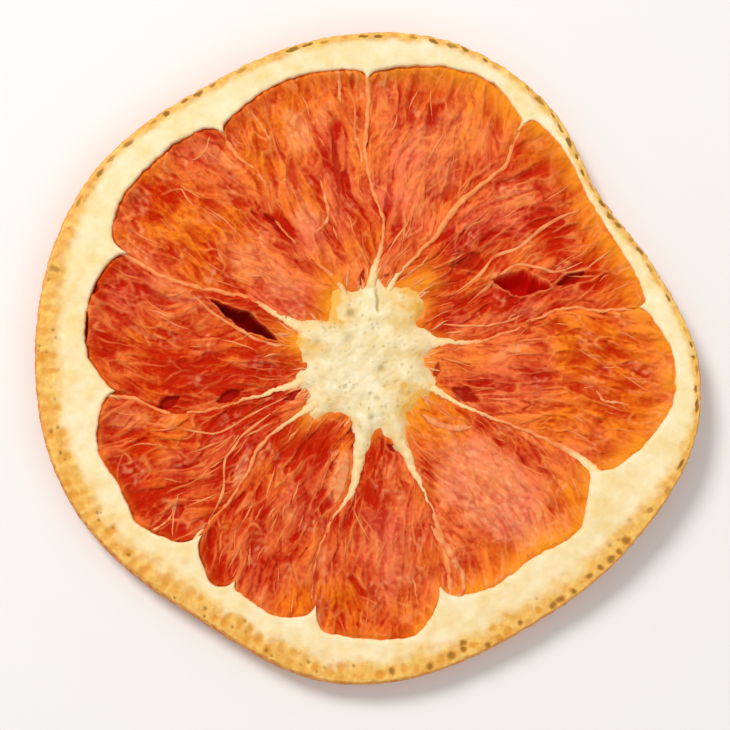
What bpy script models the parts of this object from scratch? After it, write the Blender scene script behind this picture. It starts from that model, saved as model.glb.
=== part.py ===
"""Freeze-dried orange slice: a thin uneven disc of rind, membranes, sunk flesh and a raised core.

It lies on Z = 0 with its shown cut face up. Angles run counter-clockwise from +X, seen from above.
"""

import math

import bmesh
import bpy
from mathutils import Matrix, Vector, noise

MM = 0.001
SLICE_NAME = "orange_slice"

# Driving dimensions
SLICE_RADIUS = 34.0 * MM
RIM_THICKNESS = 3.6 * MM
FLESH_THICKNESS = 2.1 * MM
CORE_THICKNESS = 3.1 * MM
CORE_RADIUS = 7.0 * MM
MEMBRANE_HALF_WIDTH = 0.4 * MM
MEMBRANE_RISE = 0.45 * MM
PITH_STEP_WIDTH = 0.35 * MM
CORE_STEP_WIDTH = 0.7 * MM

# How far the rind stands outside (+) or inside (-) the mean circle, at its turning points
RIM_OUTLINE = (
    (0, 0.8 * MM),
    (15, -1.8 * MM),
    (35, -3.9 * MM),
    (55, -0.7 * MM),
    (75, 0.8 * MM),
    (95, 0.2 * MM),
    (122, -0.7 * MM),
    (150, 1.0 * MM),
    (180, 1.2 * MM),
    (205, 1.2 * MM),
    (238, -0.8 * MM),
    (265, 0.8 * MM),
    (300, -0.8 * MM),
    (325, 0.1 * MM),
    (345, 1.5 * MM),
)

# Each membrane: its angles at even stations from the rim to the core, the width of pith at its rim
# end, and how far the core reaches out along it
MEMBRANES = (
    ((10.1, 11.0, 13.5, 12.3, 9.2, 7.0, 10.0), 3.3 * MM, 7.1 * MM),
    ((56.2, 54.4, 56.7, 59.6, 60.4, 65.6, 72.5), 2.9 * MM, 8.3 * MM),
    ((90.3, 90.5, 90.8, 89.3, 83.8, 83.4, 87.0), 4.3 * MM, 7.1 * MM),
    ((123.3, 123.3, 121.4, 124.2, 123.6, 119.0, 111.5), 4.7 * MM, 7.0 * MM),
    ((157.5, 158.7, 159.5, 158.0, 155.8, 155.1, 158.0), 7.1 * MM, 7.3 * MM),
    ((188.5, 191.0, 197.3, 199.0, 199.8, 201.4, 202.0), 7.8 * MM, 9.1 * MM),
    ((227.5, 227.0, 227.0, 224.5, 219.8, 220.4, 222.5), 7.2 * MM, 8.4 * MM),
    ((258.2, 256.0, 255.8, 257.6, 262.6, 265.3, 266.5), 7.1 * MM, 10.2 * MM),
    ((287.0, 290.0, 291.2, 292.4, 292.0, 291.6, 291.6), 7.7 * MM, 11.4 * MM),
    ((332.0, 333.5, 334.7, 334.2, 333.0, 332.0, 332.0), 7.7 * MM, 7.8 * MM),
)
MEMBRANE_RIM_STATION = 28.3 * MM
MEMBRANE_CORE_STATION = 7.6 * MM

# Width of the pith outside each segment: near its first membrane, at its middle, near its second
SEGMENT_PITH = (
    (2.4 * MM, 1.4 * MM, 2.2 * MM),
    (2.9 * MM, 2.9 * MM, 4.0 * MM),
    (4.3 * MM, 3.4 * MM, 4.0 * MM),
    (3.9 * MM, 4.2 * MM, 5.6 * MM),
    (6.2 * MM, 5.3 * MM, 7.3 * MM),
    (6.6 * MM, 5.4 * MM, 6.4 * MM),
    (5.6 * MM, 4.7 * MM, 5.9 * MM),
    (5.1 * MM, 4.8 * MM, 6.6 * MM),
    (6.2 * MM, 5.9 * MM, 6.8 * MM),
    (6.3 * MM, 3.3 * MM, 3.0 * MM),
)

# Stretches of rim that dried with a lift: middle angle, half width in degrees, lift at the edge
RIM_LIFTS = (
    (345, 50, 1.3 * MM),
    (100, 38, 0.9 * MM),
)

# Tears through the flesh: place, half length, half width, turn in degrees
TEARS = (
    (16.0 * MM, 7.8 * MM, 2.2 * MM, 0.9 * MM, -8),
    (-12.8 * MM, 3.5 * MM, 3.0 * MM, 0.55 * MM, -31),
)
TEAR_SIDES = 8
TEAR_CUT_HEIGHT = 12.0 * MM

# Unevenness of the dried faces
FLESH_LUMP_SIZE = 4.5 * MM
FLESH_LUMP_HEIGHT = 0.28 * MM
PITH_LUMP_SIZE = 9.0 * MM
PITH_LUMP_HEIGHT = 0.12 * MM

# Mesh density
SPOKES_PER_SEGMENT = 12
TOP_FLESH_RINGS = 10
UNDER_FLESH_RINGS = 8

# Rounded edge of the rind from the top face to the underside: inset, and share of the thickness.
# Where the pith is narrower than FULL_EDGE_PITH the insets shrink with it.
RIM_EDGE = (
    (1.30 * MM, 1.00),
    (0.40 * MM, 0.94),
    (0.00 * MM, 0.72),
    (0.08 * MM, 0.42),
    (0.30 * MM, 0.10),
    (1.10 * MM, 0.00),
)
FULL_EDGE_PITH = 3.2 * MM
# The side leans: the top edge is set in on this side, and the bottom edge on the far side
EDGE_LEAN = 0.6 * MM
EDGE_LEAN_TOWARD = 225.0
# Rings of the core: share of its radius
CORE_SHARES = (0.45, 0.85)
# Rings of the pith: share of its width, and how evenly its spokes are spread
PITH_ROWS = ((0.0, 0.3), (0.5, 1.0))

RIND_COLOUR = (0.93, 0.52, 0.20, 1.0)
RIND_ROUGHNESS = 0.75


def mix(low, high, share):
    return low + (high - low) * share


def smooth(share):
    share = min(max(share, 0.0), 1.0)
    return share * share * (3.0 - 2.0 * share)


def curve_through(before, start, end, after, share):
    """Value between start and end on a smooth curve through all four."""
    slope_in = (end - before) / 2.0
    slope_out = (after - start) / 2.0
    square = share * share
    cube = square * share
    return (
        (2 * cube - 3 * square + 1) * start
        + (cube - 2 * square + share) * slope_in
        + (3 * square - 2 * cube) * end
        + (cube - square) * slope_out
    )


def rim_radius(angle):
    """Outer radius of the rind at an angle in degrees."""
    angle = angle % 360.0
    count = len(RIM_OUTLINE)
    for index in range(count):
        start_angle, start = RIM_OUTLINE[index]
        end_angle, end = RIM_OUTLINE[(index + 1) % count]
        if index == count - 1:
            end_angle = end_angle + 360
        if start_angle <= angle < end_angle:
            before = RIM_OUTLINE[index - 1][1]
            after = RIM_OUTLINE[(index + 2) % count][1]
            share = (angle - start_angle) / (end_angle - start_angle)
            return SLICE_RADIUS + curve_through(before, start, end, after, share)
    raise ValueError(angle)


def membrane_angle(index, radius):
    """Angle of a membrane at a radius; past the last one it is the first again, a turn on."""
    turns, place = divmod(index, len(MEMBRANES))
    stations = MEMBRANES[place][0]
    inward = (MEMBRANE_RIM_STATION - radius) / (MEMBRANE_RIM_STATION - MEMBRANE_CORE_STATION)
    inward = min(max(inward, 0.0), 1.0) * (len(stations) - 1)
    start = min(int(inward), len(stations) - 2)
    before = stations[max(start - 1, 0)]
    after = stations[min(start + 2, len(stations) - 1)]
    angle = curve_through(before, stations[start], stations[start + 1], after, inward - start)
    return angle + 360.0 * turns


def spoke_angle(segment, step, radius, spread):
    """Angle of a spoke. It hugs the membranes at spread 0 and is evenly spaced at spread 1."""
    first = membrane_angle(segment, radius)
    second = membrane_angle(segment + 1, radius)
    even = mix(first, second, step / SPOKES_PER_SEGMENT)
    if step == 0:
        return first
    foot = math.degrees(MEMBRANE_HALF_WIDTH / radius)
    share = (step - 1) / (SPOKES_PER_SEGMENT - 2)
    hugging = mix(first + foot, second - foot, share)
    return mix(hugging, even, spread)


def spoke_place(segment, step, radius, spread):
    angle = math.radians(spoke_angle(segment, step, radius, spread))
    return radius * math.cos(angle), radius * math.sin(angle)


def pith_width(segment, step):
    """Width of the pith outside a spoke, with a rounded corner towards each membrane."""
    near, middle, far = SEGMENT_PITH[segment]
    across = step / SPOKES_PER_SEGMENT
    bow = 1.0 - (2.0 * across - 1.0) ** 2
    width = mix(near, far, across) + (middle - (near + far) / 2.0) * bow
    if step == 0:
        return MEMBRANES[segment][1]
    return width


def edge_radius(segment, step, rim, inset, height_share):
    """Radius of the rind's rounded and leaning side at a share of its thickness."""
    room = min(pith_width(segment, step) / FULL_EDGE_PITH, 1.0)
    angle = spoke_angle(segment, step, rim, 1.0)
    toward = math.cos(math.radians(angle - EDGE_LEAN_TOWARD))
    lean = EDGE_LEAN * (max(toward, 0.0) * height_share + max(-toward, 0.0) * (1.0 - height_share))
    return rim - (inset + lean) * room


def core_reach(segment, step):
    """Radius of the core's foot on a spoke: arms along the membranes, hollows between them."""
    across = step / SPOKES_PER_SEGMENT
    first = MEMBRANES[segment][2]
    second = MEMBRANES[(segment + 1) % len(MEMBRANES)][2]
    toward_first = (1.0 - smooth(across * 3.0)) * (first - CORE_RADIUS)
    toward_second = (1.0 - smooth((1.0 - across) * 3.0)) * (second - CORE_RADIUS)
    return CORE_RADIUS + toward_first + toward_second


def rim_lift(angle, radius):
    """Height by which the dried slice curls off the surface it lies on."""
    lift = 0.0
    for middle, half_width, height in RIM_LIFTS:
        away = abs((angle - middle + 180.0) % 360.0 - 180.0)
        lift += height * smooth(1.0 - away / half_width)
    return lift * (radius / SLICE_RADIUS) ** 2


def lump(x, y, size, height, layer):
    return height * noise.noise(Vector((x / size, y / size, layer)))


class Face:
    """One cut face: its side, its rings of flesh, how uneven its pith is and where its edge starts."""

    def __init__(self, up, flesh_rings, pith_lump_height, edge):
        self.up = up
        self.flesh_rings = flesh_rings
        self.pith_lump_height = pith_lump_height
        self.edge = edge

    def height(self, thickness, relief):
        """Height of a face point over the slice's underside plane."""
        return RIM_THICKNESS / 2.0 + self.up * (thickness / 2.0 + relief)

    def rows(self, segment, step, rim):
        """Points of one spoke from the middle of the core to the pith: radius, height, spread."""
        core = core_reach(segment, step)
        flesh_start = core + CORE_STEP_WIDTH
        flesh_end = rim - pith_width(segment, step)
        pith_start = flesh_end + PITH_STEP_WIDTH
        pith_end = edge_radius(segment, step, rim, *self.edge)
        rows = [(core * share, self.height(CORE_THICKNESS, 0.0), 1.0) for share in CORE_SHARES]
        for ring in range(self.flesh_rings):
            radius = mix(flesh_start, flesh_end, ring / (self.flesh_rings - 1))
            x, y = spoke_place(segment, step, radius, 0.0)
            relief = lump(x, y, FLESH_LUMP_SIZE, FLESH_LUMP_HEIGHT, self.up)
            if step == 0:
                relief += MEMBRANE_RISE
            rows.append((radius, self.height(FLESH_THICKNESS, relief), 0.0))
        for share, spread in PITH_ROWS:
            radius = mix(pith_start, pith_end, share)
            x, y = spoke_place(segment, step, radius, spread)
            relief = lump(x, y, PITH_LUMP_SIZE, self.pith_lump_height, self.up)
            rows.append((radius, self.height(RIM_THICKNESS, relief), spread))
        return rows


TOP_FACE = Face(1, TOP_FLESH_RINGS, PITH_LUMP_HEIGHT, RIM_EDGE[0])
# The underside's pith stays flat, because the slice rests on it
UNDER_FACE = Face(-1, UNDER_FLESH_RINGS, 0.0, RIM_EDGE[-1])


def spoke_points(segment, step):
    """All points of one spoke, down the top face, round the rind and back along the underside."""
    first = membrane_angle(segment, SLICE_RADIUS)
    second = membrane_angle(segment + 1, SLICE_RADIUS)
    rim = rim_radius(mix(first, second, step / SPOKES_PER_SEGMENT))
    top = TOP_FACE.rows(segment, step, rim)
    edge = [
        (edge_radius(segment, step, rim, inset, share), RIM_THICKNESS * share, 1.0)
        for inset, share in RIM_EDGE
    ]
    under = UNDER_FACE.rows(segment, step, rim)
    points = []
    for radius, height, spread in top + edge + under[::-1]:
        x, y = spoke_place(segment, step, radius, spread)
        lift = rim_lift(spoke_angle(segment, step, radius, spread), radius)
        points.append(Vector((x, y, height + lift)))
    return points


def make_slice(collection, material):
    """A sphere's rings and spokes, each point moved to its place on the slice."""
    segments = len(MEMBRANES)
    spokes = segments * SPOKES_PER_SEGMENT
    grid = [
        spoke_points(segment, step)
        for segment in range(segments)
        for step in range(SPOKES_PER_SEGMENT)
    ]
    rings = len(grid[0])
    blank = bmesh.new()
    bmesh.ops.create_uvsphere(blank, u_segments=spokes, v_segments=rings + 1, radius=1.0)
    for vertex in blank.verts:
        polar = math.acos(min(max(vertex.co.z, -1.0), 1.0))
        ring = round(polar / math.pi * (rings + 1))
        if ring == 0:
            vertex.co = (0.0, 0.0, TOP_FACE.height(CORE_THICKNESS, 0.0))
        elif ring == rings + 1:
            vertex.co = (0.0, 0.0, UNDER_FACE.height(CORE_THICKNESS, 0.0))
        else:
            turn = math.atan2(vertex.co.y, vertex.co.x) / (2.0 * math.pi)
            vertex.co = grid[round(turn * spokes) % spokes][ring - 1]
    bmesh.ops.triangulate(blank, faces=blank.faces[:])
    bmesh.ops.recalc_face_normals(blank, faces=blank.faces[:])
    mesh = bpy.data.meshes.new(SLICE_NAME)
    blank.to_mesh(mesh)
    blank.free()
    mesh.materials.append(material)
    mesh.shade_smooth()
    mesh.set_sharp_from_angle(angle=math.radians(50))
    slice_object = bpy.data.objects.new(SLICE_NAME, mesh)
    collection.objects.link(slice_object)
    return slice_object


def make_tear_cutter(collection, index, tear):
    """A pointed prism that goes right through the flesh."""
    x, y, half_length, half_width, turn = tear
    blade = bmesh.new()
    bmesh.ops.create_cone(
        blade,
        cap_ends=True,
        segments=TEAR_SIDES,
        radius1=1.0,
        radius2=1.0,
        depth=TEAR_CUT_HEIGHT,
        matrix=Matrix.Diagonal((half_length, half_width, 1.0, 1.0)),
    )
    mesh = bpy.data.meshes.new(f"tear_cutter_{index}")
    blade.to_mesh(mesh)
    blade.free()
    cutter = bpy.data.objects.new(mesh.name, mesh)
    cutter.location = (x, y, RIM_THICKNESS / 2.0)
    cutter.rotation_euler = (0.0, 0.0, math.radians(turn))
    cutter.hide_render = True
    cutter.display_type = "WIRE"
    collection.objects.link(cutter)
    return cutter


def cut_tear(slice_object, cutter):
    cut = slice_object.modifiers.new(cutter.name, "BOOLEAN")
    cut.operation = "DIFFERENCE"
    cut.solver = "EXACT"
    cut.object = cutter


def make_rind_material():
    material = bpy.data.materials.new("dried_orange")
    material.use_nodes = True
    shader = material.node_tree.nodes["Principled BSDF"]
    shader.inputs["Base Color"].default_value = RIND_COLOUR
    shader.inputs["Roughness"].default_value = RIND_ROUGHNESS
    shader.inputs["Metallic"].default_value = 0.0
    material.diffuse_color = RIND_COLOUR
    return material


def new_collection(name):
    collection = bpy.data.collections.new(name)
    bpy.context.scene.collection.children.link(collection)
    return collection


def main():
    for leftover in list(bpy.data.objects):
        bpy.data.objects.remove(leftover, do_unlink=True)
    parts = new_collection("freeze_dried_orange_slice")
    cutters = new_collection("cutters")
    slice_object = make_slice(parts, make_rind_material())
    for index, tear in enumerate(TEARS, start=1):
        cut_tear(slice_object, make_tear_cutter(cutters, index, tear))


main()
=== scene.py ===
"""Looks of the freeze-dried orange slice: peel, pith, membranes, dried pulp, strands and core.

Lengths in the tables are millimetres and angles are degrees, counter-clockwise from +X seen from
above. Points are turned into metres when they are written into a mesh.
"""

import math

import bmesh
import bpy
import numpy as np
from mathutils import Matrix, Vector
from mathutils.bvhtree import BVHTree


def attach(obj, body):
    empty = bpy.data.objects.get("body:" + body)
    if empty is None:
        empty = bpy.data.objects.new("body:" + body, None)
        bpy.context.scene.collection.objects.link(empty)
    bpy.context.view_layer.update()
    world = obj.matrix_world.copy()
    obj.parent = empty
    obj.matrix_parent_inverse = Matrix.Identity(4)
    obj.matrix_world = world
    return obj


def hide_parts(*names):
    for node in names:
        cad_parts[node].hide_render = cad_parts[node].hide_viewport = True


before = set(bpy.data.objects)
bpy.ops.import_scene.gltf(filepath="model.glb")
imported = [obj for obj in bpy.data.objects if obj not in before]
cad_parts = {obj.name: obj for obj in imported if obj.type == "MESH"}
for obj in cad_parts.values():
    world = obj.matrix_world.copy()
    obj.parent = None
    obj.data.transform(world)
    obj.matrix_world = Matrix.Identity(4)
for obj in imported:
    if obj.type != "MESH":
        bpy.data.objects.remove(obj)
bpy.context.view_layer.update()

MM = 0.001
NODE = "orange_slice"
BODY = "root"

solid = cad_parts[NODE]

# ---------------------------------------------------------------- sizes

# Thickness of the rim, height of the slice's middle, half thickness of the flesh and of the core
RIM_THICKNESS = 3.6
MIDDLE = RIM_THICKNESS / 2.0
FLESH_HALF = 1.05
CORE_HALF = 1.5

# Angle of each membrane at even stations from the rim to the core
MEMBRANE_ANGLES = (
    (10.1, 11.0, 13.5, 12.3, 9.2, 7.0, 10.0),
    (56.2, 54.4, 56.7, 59.6, 60.4, 65.6, 72.5),
    (90.3, 90.5, 90.8, 89.3, 83.8, 83.4, 87.0),
    (123.3, 123.3, 121.4, 124.2, 123.6, 119.0, 111.5),
    (157.5, 158.7, 159.5, 158.0, 155.8, 155.1, 158.0),
    (188.5, 191.0, 197.3, 199.0, 199.8, 201.4, 202.0),
    (227.5, 227.0, 227.0, 224.5, 219.8, 220.4, 222.5),
    (258.2, 256.0, 255.8, 257.6, 262.6, 265.3, 266.5),
    (287.0, 290.0, 291.2, 292.4, 292.0, 291.6, 291.6),
    (332.0, 333.5, 334.7, 334.2, 333.0, 332.0, 332.0),
)
SEGMENTS = len(MEMBRANE_ANGLES)
# Radius of the first station and of the last
RIM_STATION = 28.3
CORE_STATION = 7.6
# How plainly each membrane shows, and its half width, at five even stations from the rim to the core
MEMBRANE_SHOWS = (
    (0.7, 0.9, 0.6, 0.6, 1.0),
    (1.0, 0.8, 1.0, 0.75, 0.9),
    (1.0, 1.0, 0.9, 0.9, 1.0),
    (0.9, 0.6, 0.0, 0.3, 0.9),
    (1.0, 0.8, 0.6, 0.6, 1.0),
    (0.9, 0.6, 0.5, 0.7, 1.0),
    (0.7, 0.5, 0.9, 0.8, 1.0),
    (0.5, 0.4, 0.8, 1.0, 1.0),
    (0.6, 0.7, 0.4, 1.0, 1.0),
    (1.0, 0.8, 0.8, 0.8, 1.0),
)
MEMBRANE_WIDTHS = (
    (0.2, 0.2, 0.16, 0.22, 0.7),
    (0.5, 0.24, 0.38, 0.2, 0.5),
    (0.34, 0.26, 0.22, 0.24, 0.7),
    (0.35, 0.2, 0.12, 0.2, 0.4),
    (0.3, 0.25, 0.25, 0.34, 0.9),
    (0.3, 0.2, 0.15, 0.26, 0.7),
    (0.5, 0.2, 0.24, 0.24, 0.8),
    (0.25, 0.14, 0.2, 0.55, 1.1),
    (0.3, 0.4, 0.16, 0.5, 1.0),
    (0.8, 0.3, 0.2, 0.24, 0.7),
)
# Radius that the cream end of each membrane reaches from the core
CREAM_ENDS = (11.0, 10.0, 10.5, 8.0, 12.0, 13.0, 12.0, 16.5, 17.5, 14.0)
# The core reaches far out along these membranes, as arms
ARMS = (7, 8)

# Pith at each membrane's rim end: its width there and how broad the pointed tongue of pith is
TONGUES = (
    (3.5, 0.5),
    (3.1, 0.5),
    (4.6, 0.4),
    (4.9, 0.6),
    (7.1, 0.6),
    (7.9, 0.7),
    (7.3, 0.6),
    (7.2, 0.6),
    (7.9, 0.9),
    (8.0, 1.5),
)

# Width of the pith outside each segment, at five even places from one membrane to the next
PITH_WIDTHS = (
    (2.65, 2.1, 1.5, 1.4, 2.3),
    (3.3, 2.35, 2.9, 3.6, 4.3),
    (4.1, 3.65, 3.4, 3.8, 4.4),
    (4.05, 3.75, 4.05, 4.3, 5.3),
    (6.45, 5.55, 5.35, 5.7, 7.4),
    (6.8, 5.3, 5.55, 4.55, 5.75),
    (6.0, 4.15, 4.8, 4.75, 5.95),
    (5.2, 5.2, 4.8, 4.5, 5.95),
    (6.45, 5.7, 6.1, 5.3, 7.2),
    (6.1, 4.9, 3.2, 2.8, 3.4),
)

# Small spikes of pith between the tongues: angle, length and breadth
SPIKES = ((239.6, 1.3, 0.5),)

# Outline of the core: angle and radius
CORE_OUTLINE = (
    (0, 6.1), (12, 8.0), (22, 6.6), (33, 6.3), (45, 8.2), (55, 8.8), (66, 8.0), (76, 7.1),
    (86, 8.5), (96, 6.9), (105, 6.6), (115, 7.9), (126, 6.5), (140, 5.5), (152, 7.2), (160, 8.5),
    (170, 7.7), (182, 6.8), (193, 7.0), (202, 8.2), (211, 7.1), (220, 8.4), (228, 9.0), (238, 7.2),
    (248, 6.8), (257, 7.4), (266, 9.6), (273, 8.8), (279, 8.3), (285, 8.8), (291, 9.8), (298, 8.2),
    (306, 7.4), (318, 7.0), (328, 7.6), (335, 8.2), (344, 6.8), (352, 6.1),
)
# Where the core's edge is stained amber: angle, breadth and strength
CORE_STAINS = (
    (50, 15, 1.1),
    (126, 18, 0.75),
    (168, 14, 0.6),
    (229, 9, 0.4),
    (313, 16, 1.0),
    (0, 12, 0.5),
)

# Pits in the core: place, size and depth
CORE_PITS = (
    (1.4, -1.5, 0.42, 0.30),
    (-1.8, 4.3, 0.42, 0.35),
    (-2.2, 1.6, 0.55, 0.20),
    (-5.4, 1.2, 0.5, 0.15),
    (0.9, -4.7, 0.3, 0.22),
    (0.2, -4.2, 0.22, 0.2),
    (0.4, -6.6, 0.35, 0.22),
    (3.6, -4.1, 0.25, 0.15),
    (-1.2, -3.2, 0.25, 0.12),
)

# How light the dried pulp of each segment is
PULP_TONES = (0.26, 0.54, 0.53, 0.49, 0.19, 0.22, 0.25, 0.47, 0.56, 0.57)

# Tears right through the pulp: segment, place, half length, half width, turn, and how bright its walls are
# painted; their darker colours are painted shade
TEARS = (
    (0, 16.1, 7.7, 3.3, 1.45, -6.0, 0.9),
    (4, -12.9, 3.5, 4.2, 0.95, -31.0, 0.15),
)
# Sunk pockets in the pulp: place, half length, half width, turn, depth
POCKETS = (
    (10.3, 10.1, 1.9, 1.0, 25.0, 0.5),
    (21.5, 8.2, 1.6, 0.6, 22.0, 1.3),
    (-20.8, -5.1, 1.5, 0.65, 28.0, 0.9),
    (-14.5, -4.4, 1.6, 0.6, 24.0, 0.9),
    (-29.4, 2.6, 1.9, 0.22, 87.0, 1.2),
    (-28.6, 6.8, 0.6, 0.5, 80.0, 0.9),
    (-1.7, 29.0, 0.9, 0.3, 90.0, 0.45),
    (-0.7, 7.8, 1.1, 0.4, 80.0, 0.5),
    (1.8, 8.3, 0.5, 0.2, 20.0, 0.4),
    (3.6, 8.2, 0.7, 0.2, 30.0, 0.4),
    (-7.8, -4.3, 1.4, 0.45, 26.0, 0.6),
    (-1.4, -7.6, 0.9, 0.45, 60.0, 0.8),
    (2.5, -9.8, 0.7, 0.3, -40.0, 0.8),
    (7.2, -1.6, 0.9, 0.35, 80.0, 0.5),
    (10.2, -4.2, 1.7, 0.8, -25.0, 0.55),
    (5.9, -5.9, 0.6, 0.2, -10.0, 0.35),
    (-9.4, 13.4, 2.6, 0.35, -42.0, 0.6),
    (-3.4, 20.0, 4.0, 0.35, 97.0, 0.4),
)
# Patches of pulp that dried frosted and pale (above 0) or dense and deep red (below 0)
PATCHES = (
    (12.8, -14.2, 7.5, 4.0, -42.0, 0.95),
    (-3.1, -12.8, 2.6, 0.9, 80.0, 1.1),
    (-13.3, -12.1, 2.4, 0.5, 68.0, 1.2),
    (-7.5, 23.5, 2.6, 1.6, -60.0, 0.8),
    (-4.6, 25.4, 1.8, 0.9, 70.0, 0.6),
    (-6.7, 14.2, 2.2, 1.3, -60.0, 0.7),
    (-16.2, 20.9, 2.4, 1.0, -20.0, 0.6),
    (-24.6, -7.1, 2.2, 1.3, 0.0, 0.6),
    (7.5, 21.5, 7.0, 3.2, 60.0, 0.45),
    (-21.0, 6.8, 4.2, 1.2, -25.0, 0.5),
    (-11.5, 9.3, 5.2, 2.0, -35.0, 0.6),
    (15.2, 0.6, 2.2, 0.6, 25.0, 0.8),
    (14.5, 4.6, 4.2, 0.8, 8.0, 0.4),
    (2.8, -21.0, 2.0, 4.0, 0.0, 0.35),
    (-3.2, 20.5, 5.0, 1.3, 95.0, -0.9),
    (-9.3, 13.5, 3.2, 1.0, -42.0, -1.0),
    (-22.8, 16.4, 3.0, 2.4, 20.0, -0.5),
    (-18.6, 23.8, 4.6, 1.0, 38.0, -0.8),
    (-20.0, -2.4, 8.0, 2.2, 5.0, -0.5),
    (-12.3, -6.0, 5.0, 1.5, 26.0, -1.0),
    (-4.6, -9.2, 2.8, 1.6, 50.0, -1.1),
    (1.5, -12.6, 4.5, 2.0, 90.0, -1.1),
    (13.5, 5.9, 4.2, 1.3, 15.0, -0.7),
    (9.5, 8.3, 3.4, 0.9, 35.0, -0.6),
    (20.0, -2.0, 4.0, 1.6, -10.0, -0.4),
    (-22.5, -15.0, 3.0, 2.0, 50.0, -0.5),
)
# Patches of pulp that are pink (above 0) or plainly orange (below 0)
BLUSHES = (
    (-9.6, 6.6, 4.6, 2.6, -35.0, 0.9),
    (-3.2, 19.0, 5.5, 1.6, 95.0, 0.8),
    (5.5, 19.5, 7.5, 3.6, 65.0, 0.7),
    (14.2, 15.0, 5.5, 3.0, 30.0, 0.9),
    (13.0, 5.0, 4.5, 2.2, 15.0, 0.6),
    (12.8, -14.2, 7.5, 4.5, -42.0, 0.9),
    (15.0, -3.0, 4.5, 2.2, -10.0, 0.6),
    (1.4, -20.6, 5.0, 3.0, 85.0, 0.6),
    (-7.0, -15.6, 6.0, 2.0, 65.0, 0.7),
    (-16.5, -11.0, 4.5, 2.4, 30.0, 0.6),
    (-24.5, 5.5, 3.0, 2.0, -20.0, 0.6),
    (-6.8, 13.4, 2.4, 2.0, -60.0, 0.7),
    (-18.0, 14.0, 6.0, 4.5, -40.0, -0.8),
    (-10.0, 22.5, 4.0, 3.0, -60.0, -0.8),
    (11.5, 25.0, 4.0, 2.6, 60.0, -0.7),
    (25.0, 9.5, 5.0, 2.2, 110.0, -0.9),
    (24.0, -3.0, 6.5, 5.0, 90.0, -0.9),
    (19.5, -17.5, 5.5, 2.6, 55.0, -0.8),
    (6.8, -6.4, 4.0, 2.4, -30.0, -1.2),
    (-4.0, -25.5, 5.0, 2.4, 5.0, -0.7),
    (-23.0, -8.0, 3.4, 2.6, 10.0, -0.8),
    (-17.0, 1.5, 8.0, 2.6, 0.0, -0.5),
)
# Pale strands lying on the pulp: segment, half width and the places they pass
STRANDS = (
    (0, 0.20, (
        (10.5, 5.5), (12.3, 7.0), (14.1, 8.6), (15.9, 9.7), (18.3, 9.2), (20.1, 8.9), (22.8, 10.0),
    )),
    (0, 0.24, (
        (9.0, 6.4), (11.7, 8.5), (13.5, 10.6), (15.9, 11.4), (17.7, 13.0), (20.1, 14.6), (22.5, 15.5),
    )),
    (0, 0.15, ((7.4, 3.3), (10.7, 3.1), (13.6, 3.3), (16.4, 4.3))),
    (4, 0.20, ((-18.4, 6.2), (-16.6, 4.6), (-14.7, 3.3), (-12.3, 1.9), (-10.0, 1.0), (-8.4, 0.9))),
    (5, 0.18, ((-16.6, -17.4), (-15.1, -14.4), (-15.0, -11.4), (-14.1, -9.9), (-12.7, -8.1), (-8.6, -5.2))),
    (5, 0.14, ((-8.2, -4.2), (-12.0, -6.2), (-15.6, -8.2), (-18.6, -8.0), (-21.4, -7.2))),
    (5, 0.14, ((-19.9, -15.0), (-20.7, -17.2), (-22.6, -18.5))),
    (5, 0.12, ((-19.7, -14.6), (-20.2, -16.8), (-20.3, -19.0))),
    (8, 0.30, ((8.5, -20.6), (9.3, -21.8), (9.8, -23.0), (9.9, -24.2), (9.3, -25.1), (8.1, -25.2))),
    (8, 0.45, ((5.7, -6.3), (7.4, -7.3), (9.2, -7.7), (10.8, -7.5))),
    (8, 0.45, ((6.3, -17.5), (7.2, -18.9), (8.2, -20.2), (8.9, -21.4), (9.2, -22.4))),
    (6, 0.70, ((-2.2, -10.4), (-2.45, -11.6), (-2.7, -12.9), (-3.1, -14.2), (-3.5, -15.5))),
    (0, 0.15, ((3.2, 7.8), (4.4, 8.7), (5.7, 9.7), (6.4, 10.6))),
    (9, 0.18, ((24.0, -3.6), (24.6, -4.7), (25.5, -4.9), (27.4, -5.2))),
    (2, 0.15, ((-12.5, 25.7), (-11.5, 24.4), (-10.1, 22.3))),
    (2, 0.24, ((-5.1, 18.5), (-4.5, 16.4), (-4.3, 14.3), (-5.6, 12.9))),
    (2, 0.18, ((-1.4, 26.4), (-1.4, 23.3), (-0.9, 22.0), (-0.7, 19.5))),
    (2, 0.24, ((-3.2, 30.2), (-3.1, 28.4), (-3.0, 26.6))),
    (3, 0.13, ((-16.7, 23.0), (-17.3, 21.3), (-18.6, 20.4))),
)


# ---------------------------------------------------------------- number work

def smooth(share):
    share = np.clip(share, 0.0, 1.0)
    return share * share * (3.0 - 2.0 * share)


def mix(low, high, share):
    return low + (high - low) * share


def hill(distance, width):
    return np.exp(-((distance / width) ** 2))


def apart(angle, turn):
    """How far round angles lie from a turn, from -180 to 180 degrees."""
    return np.mod(angle - turn + 180.0, 360.0) - 180.0


def toward(angle, turn):
    """1 at a turn, 0 a quarter turn beside it and -1 opposite it."""
    return np.cos(np.radians(angle - turn))


def plan(angle, radius):
    """Place on the slice's plan of angles and radii."""
    turn = np.radians(angle)
    return radius * np.cos(turn), radius * np.sin(turn)


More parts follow.
